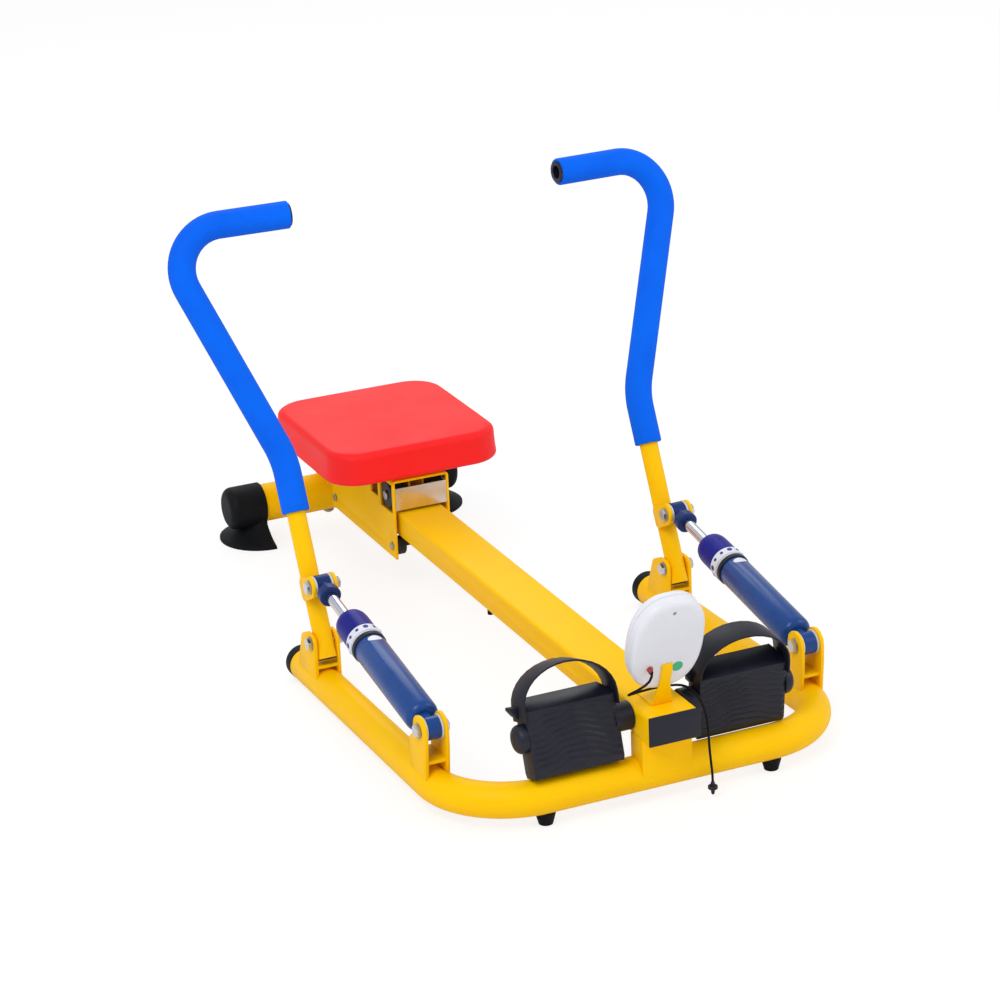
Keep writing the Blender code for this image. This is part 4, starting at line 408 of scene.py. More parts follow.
def bent_pipe(name: str, corners: Sequence[Vector], radii: Sequence[float], radius: float, sides: int,
              steps: int) -> Object:
    """Bend an open pipe along corners, each rounded by its radius.

    Args:
        name: The piece's name.
        corners: The places where the pipe's straight runs meet, and its two ends.
        radii: The bend radius at each inner corner.
        radius: The pipe's outer radius.
        sides: Flat sides of the pipe.
        steps: Rings in each bend.

    Returns:
        The open pipe, without a wall.
    """
    way = (corners[1] - corners[0]).normalized()
    piece = ring_start(name, radius, corners[0], way, sides)
    at = corners[0].copy()
    for before, corner, after, bend_radius in zip(corners, corners[1:], corners[2:], radii):
        on = (after - corner).normalized()
        turn = way.angle(on)
        reach = bend_radius * math.tan(turn / 2)
        start = corner - way * reach
        straight(start - at, way)
        inward = (on - way * on.dot(way)).normalized()
        centre = start + inward * bend_radius
        bpy.ops.mesh.spin(steps=steps, angle=-turn, center=centre, axis=way.cross(on).normalized())
        at = corner + on * reach
        way = on
    straight(corners[-1] - at, way)
    close_edit()
    return piece


def straight(run: Vector, way: Vector) -> None:
    """Extrude a straight run of a pipe in equal lengths."""
    for _ in range(RUN_PARTS):
        extrude(way * (run.length / RUN_PARTS))


def walled(piece: Object, wall: float, rim: float) -> Object:
    """Give an open pipe its wall, whose inside takes the second finish, and round its end rims."""
    settle(piece)
    modify(piece, "SOLIDIFY", thickness=wall, offset=-1.0, material_offset=1, use_even_offset=True)
    soften(piece, rim, 60.0)
    return smooth(piece, 40.0)


def outline_face(name: str, points: Sequence[Vector]) -> Object:
    """Draw a closed outline point by point and fill it.

    Args:
        name: The piece's name.
        points: The outline's places, in order.

    Returns:
        The flat piece, open in edit mode with all of it selected.
    """
    bpy.ops.mesh.primitive_plane_add(size=0.01, location=points[0])
    piece = open_new(name)
    bpy.ops.mesh.merge(type="CENTER")
    for before, after in zip(points, points[1:]):
        bpy.ops.mesh.extrude_vertices_move(TRANSFORM_OT_translate={"value": tuple(after - before)})
    bpy.ops.mesh.select_all(action="SELECT")
    bpy.ops.mesh.edge_face_add()
    return piece


def stepped(name: str, points: Sequence[Vector], half_x: float, half_y: float,
            levels: Profile) -> Object:
    """Raise a closed outline ring by ring.

    Args:
        name: The piece's name.
        points: The outline's places, at the first level.
        half_x: Half the full outline's width.
        half_y: Half the full outline's depth.
        levels: How far each ring is drawn in and how high it lies.

    Returns:
        The piece, open in edit mode with its last ring selected.
    """
    piece = outline_face(name, points)
    inset, up = levels[0]
    for next_inset, next_up in levels[1:]:
        if next_up > up:
            extrude(Z_AXIS * (next_up - up))
        wide, deep = (half_x - next_inset) / (half_x - inset), (half_y - next_inset) / (half_y - inset)
        bpy.ops.transform.resize(value=(wide, deep, 1))
        inset, up = next_inset, next_up
    return piece


def slab(name: str, outline: Profile, thickness: float, origin: Vector, across: Vector, up: Vector,
         edge: float = 0.0) -> Object:
    """Cut a flat plate to an outline and round its rims.

    Args:
        name: The piece's name.
        outline: The outline's points, across and up from the origin.
        thickness: The plate's thickness, half to each side of the origin.
        origin: The middle of the plate's thickness.
        across: The outline's first direction.
        up: The outline's second direction.
        edge: How far the rims are rounded.

    Returns:
        The closed plate.
    """
    normal = across.cross(up).normalized()
    low = origin - normal * (thickness / 2)
    piece = outline_face(name, [low + across * u + up * v for u, v in outline])
    extrude(normal * thickness)
    close_edit()
    settle(piece)
    if edge:
        soften(piece, edge, 50.0)
    return smooth(piece, 40.0)


def oblong(half_wide: float, half_deep: float) -> Profile:
    """Give a rectangle's corners about the origin."""
    return [(u * half_wide, v * half_deep) for u, v in ((-1, -1), (1, -1), (1, 1), (-1, 1))]


def rounded(corners: Profile, radii: Sequence[float], steps: int) -> Profile:
    """Round the corners of a closed outline, each by its own radius."""
    places = [Vector((u, v, 0)) for u, v in corners]
    outline = []
    for i, radius in enumerate(radii):
        corner = places[i]
        back = (places[i - 1] - corner).normalized()
        on = (places[(i + 1) % len(places)] - corner).normalized()
        half = back.angle(on) / 2
        reach = radius / math.tan(half)
        centre = corner + (back + on).normalized() * (radius / math.sin(half))
        start = corner + back * reach - centre
        axis = start.cross(corner + on * reach - centre).normalized()
        for step in range(steps + 1):
            place = centre + Matrix.Rotation((math.pi - 2 * half) * step / steps, 3, axis) @ start
            outline.append((place.x, place.y))
    return outline


def bow(centre: tuple[float, float], reach: tuple[float, float], first: int, last: int,
        steps: int) -> Profile:
    """Give the points of an ellipse's arc between two angles, which are counted in quarter turns."""
    angles = [math.pi / 2 * (first + (last - first) * i / steps) for i in range(steps + 1)]
    return [(centre[0] + reach[0] * math.cos(a), centre[1] + reach[1] * math.sin(a)) for a in angles]


def barrel(low: float, high: float, radius: float, bore: float = 0.0, edge: float = 0.0) -> Profile:
    """Give the outline of a turned disc or ring, with its outer rims cut by an edge."""
    if not edge:
        return [(bore, low), (radius, low), (radius, high), (bore, high)]
    return [(bore, low), (radius - edge, low), (radius, low + edge), (radius, high - edge),
            (radius - edge, high), (bore, high)]


def refined(node: str, body: str, finish: Finish, edge: float, angle: float = 35.0) -> None:
    """Make a finer copy of a solid whose shape is right: merged, with rounded edges.

    Args:
        node: The solid's name.
        body: The body that it rides on.
        finish: Its finish.
        edge: How far its edges are rounded.
        angle: Edges sharper than this many degrees are rounded.
    """
    piece = add_object(f"{node}_skin", bpy.data.objects[node].data.copy())
    edit(piece)
    bpy.ops.mesh.remove_doubles(threshold=MERGE)
    bpy.ops.mesh.dissolve_limited(angle_limit=math.radians(0.6))
    close_edit()
    soften(piece, edge, angle)
    fit(smooth(piece, 35.0), finish, body, node)


def hex_head(name: str, centre: Vector, way: Vector, radius: float, height: float,
             bore: float = 0.0) -> Object:
    """Model a six-sided bolt head or nut with a turned crown, standing out from a face.

    Args:
        name: The piece's name.
        centre: The middle of its seat.
        way: The direction in which it stands out.
        radius: Half its width over corners.
        height: How far it stands out.
        bore: The radius of a bolt end that shows in a nut, or zero for a head.

    Returns:
        The head, with a washer face under it.
    """
    head = turned(name, barrel(0, height, radius), centre, way, 6)
    rim, top = radius * 1.3, height * 1.02
    outline = [(0, -height), (radius * 0.90, -height), (rim, height * 0.25), (rim, height * 0.55),
               (radius * 0.84, top), (0, top)]
    combine(head, "INTERSECT", turned(f"{name}_crown", outline, centre, way, 36))
    if bore:
        tip = height * 1.45
        outline = [(0, height / 2), (bore, height / 2), (bore, height * 1.3), (bore * 0.8, tip), (0, tip)]
        combine(head, "UNION", turned(f"{name}_end", outline, centre, way, 24))
    return smooth(head, 25.0)


def washer(name: str, centre: Vector, way: Vector, outer: float, inner: float, thickness: float) -> Object:
    """Turn a flat washer that stands out from a face."""
    return turned(name, barrel(0, thickness, outer, inner, thickness * 0.25), centre, way, 40)


@dataclass
class Studio:
    """Camera, floor and lights."""

    eye: tuple[float, float, float] = (-1.3735, -2.7788, 1.5459)
    right: tuple[float, float, float] = (0.9114158, -0.4095565, -0.0398081)
    up: tuple[float, float, float] = (0.1813121, 0.3128664, 0.9323307)
    back: tuple[float, float, float] = (-0.3693875, -0.8569586, 0.3594089)
    focal_pixels: float = 3148.6
    picture_pixels: float = 1000.0
    sensor_width: float = 36.0
    floor_half: float = 6.0
    lamp_target: tuple[float, float, float] = (0, -0.1, 0.15)

    def build(self) -> None:
        """Set the camera, floor, lamps and world."""
        self.camera()
        self.floor()
        self.lamp("key", (-1.7, -1.5, 2.6), 1.6, 34.0)
        self.lamp("fill", (2.3, -1.6, 1.7), 2.0, 16.0)
        self.lamp("rear", (0.6, 2.4, 2.3), 2.0, 18.0)
        self.world()
        bpy.context.scene.view_settings.view_transform = "Standard"

    def camera(self) -> None:
        """Stand the camera where the photograph was taken."""
        data = bpy.data.cameras.new("camera")
        data.sensor_width = self.sensor_width
        data.lens = self.focal_pixels / self.picture_pixels * self.sensor_width
        camera = add_object("camera", data)
        turn = Matrix((self.right, self.up, self.back)).transposed().to_4x4()
        camera.matrix_world = Matrix.Translation(Vector(self.eye) + Y_AXIS * BAR_Y) @ turn
        bpy.context.scene.camera = camera

    def floor(self) -> None:
        """Lay the pale floor, which keeps a faint shadow."""
        bpy.ops.mesh.primitive_plane_add(size=2 * self.floor_half, location=(0, 0, 0))
        floor = bpy.context.object
        floor.name = "floor"
        made = bpy.data.materials.new("pale_floor")
        made.use_nodes = True
        tree = made.node_tree
        pale = tree.nodes["Principled BSDF"]
        fill_inputs(tree, pale, {"Base Color": (0.86, 0.86, 0.87, 1), "Roughness": 0.9,
                                 "Specular IOR Level": 0.1})
        glow = add_node(tree, "Emission", "Emission", {"Color": WHITE, "Strength": 1.1})
        seen = add_node(tree, "LightPath", "Is Camera Ray", {})
        share = add_node(tree, "Math", "Value", {0: seen, 1: 0.72}, operation="MULTIPLY")
        self.mix(tree, "Material Output", share, pale.outputs["BSDF"], glow)
        floor.data.materials.append(made)

    def mix(self, tree: NodeTree, output: str, *inputs: NodeSocket) -> None:
        """Mix two shaders by a share, which comes first, and give them to the tree's output."""
        mixed = add_node(tree, "MixShader", "Shader", dict(enumerate(inputs)))
        fill_inputs(tree, tree.nodes[output], {"Surface": mixed})

    def lamp(self, name: str, place: tuple[float, float, float], size: float, power: float) -> None:
        """Hang one soft lamp that shines on the machine."""
        data = bpy.data.lights.new(name, "AREA")
        data.shape = "DISK"
        data.size = size
        data.energy = power
        lamp = add_object(name, data)
        lamp.location = place
        lamp.rotation_euler = (Vector(place) - Vector(self.lamp_target)).to_track_quat("Z", "Y").to_euler()

    def world(self) -> None:
        """Light the scene evenly and show white behind it."""
        world = bpy.data.worlds.new("studio")
        bpy.context.scene.world = world
        world.use_nodes = True
        tree = world.node_tree
        plain = tree.nodes["Background"]
        fill_inputs(tree, plain, {"Color": WHITE, "Strength": 0.72})
        white = add_node(tree, "Background", "Background", {"Color": WHITE, "Strength": 1.0})
        rays = tree.nodes.new("ShaderNodeLightPath").outputs
        clear = add_node(tree, "Math", "Value", {0: rays["Is Camera Ray"], 1: rays["Is Transmission Ray"]},
                         operation="MAXIMUM")
        self.mix(tree, "World Output", clear, plain.outputs["Background"], white)


@dataclass
class SensorCord:
    """The thin sensor cord that leaves the display's back and hangs in front of the bar."""

    radius: float = 0.0014
    count: int = 48
    spans: int = 12
    route: tuple[tuple[float, float, float], ...] = (
        (-0.0205, -0.0238, 0.1648), (-0.0209, -0.0300, 0.1628), (-0.0275, -0.0360, 0.1564),
        (-0.0370, -0.0330, 0.1490), (-0.0420, -0.0220, 0.1405), (-0.0390, -0.0080, 0.1320),
        (-0.0270, 0.0030, 0.1270), (-0.0110, 0.0115, 0.1235), (0.0060, 0.0160, 0.1215),
        (0.0210, 0.0150, 0.1210), (0.0330, 0.0080, 0.1215), (0.0400, -0.0050, 0.1190),
        (0.0425, -0.0190, 0.1110), (0.0432, -0.0290, 0.0980), (0.0435, -0.0325, 0.0820),
        (0.0445, -0.0325, 0.0640), (0.0460, -0.0325, 0.0460), (0.0475, -0.0325, 0.0320),
        (0.0480, -0.0325, 0.0200))
    plug: Profile = (
        (0, 0), (0.00147, 0), (0.0022, 0.0012), (0.0026, 0.0042), (0.0026, 0.0050), (0.0050, 0.0052),
        (0.0055, 0.0058), (0.0055, 0.0084), (0.0050, 0.0090), (0.0022, 0.0091), (0.0022, 0.0128),
        (0.0017, 0.0133), (0.0021, 0.0138), (0.0016, 0.0152), (0.0008, 0.0160), (0, 0.0160))
    sleeve: Profile = ((0.0015, -0.0004), (0.0034, -0.0004), (0.0034, 0.0012), (0.0028, 0.0034),
                       (0.0021, 0.0062), (0.0017, 0.0066), (0.0015, 0.0066))

    def points(self) -> list[Vector]:
        """Give evenly spaced points on the smooth curve through the route."""
        given = [from_bar(*place) for place in self.route]
        places = [given[0] * 2 - given[1]] + given + [given[-1] * 2 - given[-2]]
        fine = []
        for i in range(1, len(places) - 2):
            a, b, c, d = places[i - 1:i + 3]
            for step in range(self.spans):
                t = step / self.spans
                fine.append(0.5 * (2 * b + (c - a) * t + (2 * a - 5 * b + 4 * c - d) * t * t
                                   + (3 * b - a - 3 * c + d) * t * t * t))
        fine.append(given[-1].copy())
        runs = [0.0]
        for before, after in zip(fine, fine[1:]):
            runs.append(runs[-1] + (after - before).length)
        route = []
        at = 0
        for i in range(self.count):
            want = runs[-1] * i / (self.count - 1)
            while at < len(runs) - 2 and runs[at + 1] < want:
                at += 1
            route.append(fine[at].lerp(fine[at + 1], (want - runs[at]) / (runs[at + 1] - runs[at])))
        return route

    def build(self) -> None:
        """Run the cord, and turn its small plug and the sleeve at its start."""
        route = self.points()
        curve = bpy.data.curves.new("cord", "CURVE")
        curve.dimensions = "3D"
        curve.bevel_depth = self.radius
        curve.bevel_resolution = 4
        curve.use_fill_caps = True
        spline = curve.splines.new("POLY")
        spline.points.add(len(route) - 1)
        for point, place in zip(spline.points, route):
            point.co = (*place, 1.0)
        cord = fit(add_object("cord", curve), RUBBER_BLACK, "frame", "sensor_cord")
        end = from_bar(*self.route[-1]) - Z_AXIS * GAP
        plug = fit(turned("cord_plug", self.plug, end, -Z_AXIS, 32), PLASTIC_BLACK, "frame", "jack_plug")
        sleeve = turned("cord_sleeve", self.sleeve, route[0], (route[2] - route[0]).normalized(), 32)
        fit(sleeve, SLEEVE_RED, "frame")


@dataclass
class BaseFrame:
    """Base tube, beam and rear stand."""

    tube_radius: float = 0.020
    tube_wall: float = 0.0018
    bar_height: float = 0.033
    arm_x: float = 0.231
    arm_length: float = 0.478
    corner: float = 0.094
    cap_radius: float = 0.0204
    cap_length: float = 0.017
    cap_edge: float = 0.004
    cap_rim: float = 0.0006
    plug_radius: float = 0.0178
    plug_length: float = 0.020
    stand_y: float = 0.948
    stand_height: float = 0.046
    stand_radius: float = 0.025
    stand_wall: float = 0.002
    stand_cap_radius: float = 0.0285
    stand_cap_inner: float = 0.114
    stand_cap_outer: float = 0.1635
    stand_cap_floor: float = 0.005
    stand_cap_edge: float = 0.011
    stand_cap_rim: float = 0.001
    skirt: float = 0.057
    skirt_x: float = 0.115
    skirt_lip: float = 0.0028
    skirt_rim: float = 0.0004
    flare: Profile = ((0.40, 1.0), (0.43, 0.52), (0.49, 0.43), (0.56, 0.36), (0.63, 0.29), (0.72, 0.22),
                      (0.82, 0.16), (0.92, 0.11), (0.97, 0.085))

    def arm_point(self, side: int, along: float) -> Vector:
        """Give a point on an arm's axis at a distance from the bar."""
        contact = self.arm_length + self.cap_length - self.cap_edge
        fall = math.asin((self.bar_height - self.cap_radius) / contact)
        start = from_bar(side * self.arm_x, 0, self.bar_height)
        return start + Vector((0, math.cos(fall), -math.sin(fall))) * along

    def build(self) -> None:
        """Build every fixed piece of the frame."""
        self.base_tube()
        for name, side in SIDES:
            self.arm_cap(name, side)
            refined(f"front_foot_{name}", "frame", RUBBER_BLACK, 0.0008)
        refined("main_beam", "frame", YELLOW_PAINT, 0.0008, 50.0)
        for end in ("front", "rear"):
            refined(f"beam_plug_{end}", "frame", PLASTIC_BLACK, 0.0006)
        refined("seat_stop", "frame", RUBBER_BLACK, 0.0008)
        self.cross_tube()
        for name, side in SIDES:
            refined(f"stand_bolt_{name}", "frame", ZINC, 0.0006)
            self.stand_cap(name, side)

    def base_tube(self) -> None:
        """Bend the base tube."""
        corners = [self.arm_point(-1, self.arm_length), self.arm_point(-1, 0), self.arm_point(1, 0),
                   self.arm_point(1, self.arm_length)]
        tube = bent_pipe("base_pipe", corners, (self.corner, self.corner), self.tube_radius, 48, 20)
        walled(tube, self.tube_wall, RIM)
        # The tube's inside faces take the near-black painted shade of its hollow bore.
        place_on(dress(tube, YELLOW_PAINT, TUBE_BORE_PAINTED_SHADE), "frame", "base_tube")

    def arm_cap(self, name: str, side: int) -> None:
        """Turn the round cap of one arm's end, with the plug that holds it."""
        end = self.arm_point(side, self.arm_length + self.cap_length)
        back = (self.arm_point(side, 0) - self.arm_point(side, 1)).normalized()
        reach = self.cap_length - GAP
        radius, edge, rim = self.cap_radius, self.cap_edge, self.cap_rim
        plug_end = reach + self.plug_length
        outline = [(0, 0)] + bow((radius - edge, edge), (edge, edge), -1, 0, 5)
        outline += [(radius, reach - rim), (radius - rim, reach), (self.plug_radius, reach),
                    (self.plug_radius, plug_end), (0, plug_end)]
        fit(turned(f"arm_end_{name}", outline, end, back), RUBBER_BLACK, "frame", f"arm_cap_{name}")

    def cross_tube(self) -> None:
        """Turn the rear stand's cross tube."""
        half = self.stand_cap_outer - self.stand_cap_floor - GAP
        outline = barrel(-half, half, self.stand_radius, self.stand_radius - self.stand_wall)
        tube = turned("cross_pipe", outline, from_bar(0, self.stand_y, self.stand_height), X_AXIS, 56)
        fit(tube, YELLOW_PAINT, "frame", "rear_cross_tube")

    def stand_cap(self, name: str, side: int) -> None:
        """Turn one end cap of the rear stand and join its flared foot."""
        start = from_bar(side * self.stand_cap_inner, self.stand_y, self.stand_height)
        length = self.stand_cap_outer - self.stand_cap_inner
        radius, edge, rim = self.stand_cap_radius, self.stand_cap_edge, self.stand_cap_rim
        outline = [(0, 0), (radius - rim, 0), (radius, rim)]
        outline += bow((radius - edge, length - edge), (edge, edge), 0, 1, 8) + [(0, length)]
        cap = turned(f"stand_cap_{name}", outline, start, X_AXIS * side, 64)
        combine(cap, "UNION", self.flared_foot(name, side))
        hollow = barrel(-0.01, length - self.stand_cap_floor, self.stand_radius + GAP)
        combine(cap, "DIFFERENCE", turned("cap_bore", hollow, start, X_AXIS * side, 56))
        settle(cap)
        fit(smooth(cap, 38.0), RUBBER_BLACK, "frame", f"rear_foot_cap_{name}")

    def flared_foot(self, name: str, side: int) -> Object:
        """Turn a flared foot and cut it flat on its inner side."""
        skirt, height = self.skirt, self.stand_height
        outline = [(0, height)] + [(skirt * out, height * up) for out, up in self.flare]
        outline += [(skirt, self.skirt_lip), (skirt, self.skirt_rim), (skirt - self.skirt_rim, 0), (0, 0)]
        place = from_bar(side * self.skirt_x, self.stand_y, 0)
        foot = turned(f"foot_flare_{name}", outline, place, Z_AXIS, 72)
        far = place.x - side * 2 * skirt
        low = Vector((min(place.x, far), place.y - 2 * skirt, -0.01))
        high = Vector((max(place.x, far), place.y + 2 * skirt, height + 0.01))
        half = (high - low) / 2
        chord = slab("foot_chord", oblong(half.x, half.y), high.z - low.z, (low + high) / 2, X_AXIS, Y_AXIS)
        combine(foot, "DIFFERENCE", chord)
        return foot


@dataclass
class Pivot:
    """A bolt through two ears: hex head, nut and washers."""

    centre: Vector
    half_span: float
    body: str
    node: str
    bolt_radius: float = 0.004
    thread_radius: float = 0.0035
    head_radius: float = 0.0075
    head_height: float = 0.0045
    washer_radius: float = 0.0084
    washer_thickness: float = 0.0012

    def build(self) -> None:
        """Model the bolt's shank, head, nut and washers as one assembly of pieces."""
        shank = turned(f"{self.node}_shank", barrel(-self.half_span, self.half_span, self.bolt_radius),
                       self.centre, X_AXIS, 24)
        fit(shank, CHROME, self.body, self.node)
        for way, label, bore in ((-1, "head", 0.0), (1, "nut", self.thread_radius)):
            out = X_AXIS * way
            name = f"{self.node}_{label}"
            seat = self.centre + out * self.half_span
            disc = washer(f"{name}_washer", seat, out, self.washer_radius, self.bolt_radius,
                          self.washer_thickness)
            fit(disc, ZINC, self.body)
            top = seat + out * self.washer_thickness
            height = self.head_height - self.washer_thickness * 0.6
            fit(hex_head(name, top, out, self.head_radius, height, bore), CHROME, self.body)


@dataclass
class Handle:
    """One handle with its foam, lugs, bracket and bolts."""

    name: str
    side: int
    arm_x: float = 0.231
    tube_radius: float = 0.01125
    tube_wall: float = 0.0015
    foam_radius: float = 0.0165
    foam_start: float = 0.154
    foam_rim: float = 0.0016
    pivot_place: tuple[float, float] = (0.410, 0.077)
    mid_place: tuple[float, float] = (0.5045, 0.274)
    top_place: tuple[float, float, float] = (0.3335, 0.6096, 0.5373)
    grip_end: tuple[float, float, float] = (0.1746, 0.594, 0.5403)
    tail: float = 0.0205
    mid_radius: float = 0.110
    top_radius: float = 0.052
    ear_thickness: float = 0.004
    ear_gap: float = 0.0009
    lug_radius: float = 0.0125
    lug_ahead: float = 0.0375
    lug_up: float = 0.063
    lug_back: float = 0.003
    lug_low: float = 0.049
    lug_high: float = 0.077
    lug_corner: float = 0.007
    pivot: Vector = field(init=False)
    up: Vector = field(init=False)
    ahead: Vector = field(init=False)
    corners: list[Vector] = field(init=False)
    rod_pivot: Vector = field(init=False)

    def __post_init__(self) -> None:
        """Work out the handle's directions and bends."""
        x = self.side * self.arm_x
        self.pivot = from_bar(x, *self.pivot_place)
        mid = from_bar(x, *self.mid_place)
        self.up = (mid - self.pivot).normalized()
        self.ahead = Vector((0, -self.up.z, self.up.y))
        upper = [from_bar(self.side * out, y, z) for out, y, z in (self.top_place, self.grip_end)]
        self.corners = [self.pivot - self.up * self.tail, mid] + upper
        self.rod_pivot = self.pivot + self.up * self.lug_up + self.ahead * self.lug_ahead

    def build(self) -> None:
        """Build the moving handle and its fixed bracket."""
        name = self.name
        body = f"handle_{name}"
        bends = (self.mid_radius, self.top_radius)
        tube = bent_pipe(f"handle_pipe_{name}", self.corners, bends, self.tube_radius, 32, 16)
        walled(tube, self.tube_wall, RIM)
        # The tube's inside faces take the near-black painted shade of its hollow bore.
        place_on(dress(tube, YELLOW_PAINT, TUBE_BORE_PAINTED_SHADE), body, f"handle_tube_{name}")
        start = [self.pivot + self.up * self.foam_start] + self.corners[1:]
        foam = bent_pipe(f"foam_sleeve_{name}", start, bends, self.foam_radius, 48, 22)
        walled(foam, self.foam_radius - self.tube_radius - GAP, self.foam_rim)
        place_on(dress(foam, FOAM_BLUE, FOAM_BLUE), body, f"foam_grip_{name}")
        self.lugs(body)
        refined(f"handle_bracket_{name}", "frame", YELLOW_PAINT, 0.0005)
        lug_span = self.tube_radius + GAP + self.ear_thickness + GAP
        ear_span = self.tube_radius + self.ear_gap + self.ear_thickness + GAP
        Pivot(self.rod_pivot, lug_span, body, f"rod_bolt_{name}").build()
        Pivot(self.pivot, ear_span, "frame", f"handle_bolt_{name}").build()
        self.plugs(body)

    def plugs(self, body: str) -> None:
        """Turn the plugs in the tube's lower end and in the grip's end."""
        outer = self.tube_radius - 0.0002
        inner = self.tube_radius - self.tube_wall - GAP
        outline = [(0, -0.0016), (outer - 0.001, -0.0016), (outer, -0.0008), (outer, -GAP), (inner, -GAP),
                   (inner, 0.008), (0, 0.008)]
        tail_plug = turned(f"tail_plug_{self.name}", outline, self.corners[0], self.up, 32)
        fit(tail_plug, PLASTIC_BLACK, body)
        outline = [(0, -0.010), (inner, -0.010), (inner, GAP), (0.0126, GAP), (0.0136, 0.0010),
                   (0.0136, 0.0016), (0.0126, 0.0022), (0.0086, 0.0022), (0.0078, 0.0014), (0.0078, -0.008),
                   (0, -0.008)]
        bend, end = self.corners[-2:]
        fit(turned(f"grip_plug_{self.name}", outline, end, end - bend, 40), PLASTIC_BLACK, body)

    def lugs(self, body: str) -> None:
        """Cut the two lug plates that hold the damper's rod end."""
        radius, tip = self.lug_radius, self.lug_ahead + self.lug_radius
        corners = ((self.lug_back, self.lug_low), (tip, self.lug_up - radius), (tip, self.lug_up + radius),
                   (self.lug_back, self.lug_high))
        outline = rounded(corners, (self.lug_corner, radius * 0.95, radius * 0.95, self.lug_corner), 10)
        for way in (-1, 1):
            place = "inner" if way * self.side < 0 else "outer"
            centre = self.pivot + X_AXIS * way * (self.tube_radius + GAP + self.ear_thickness / 2)
            lug = slab(f"lug_{self.name}_{place}", outline, self.ear_thickness, centre, self.ahead, self.up,
                       0.0006)
            fit(lug, YELLOW_PAINT, body)


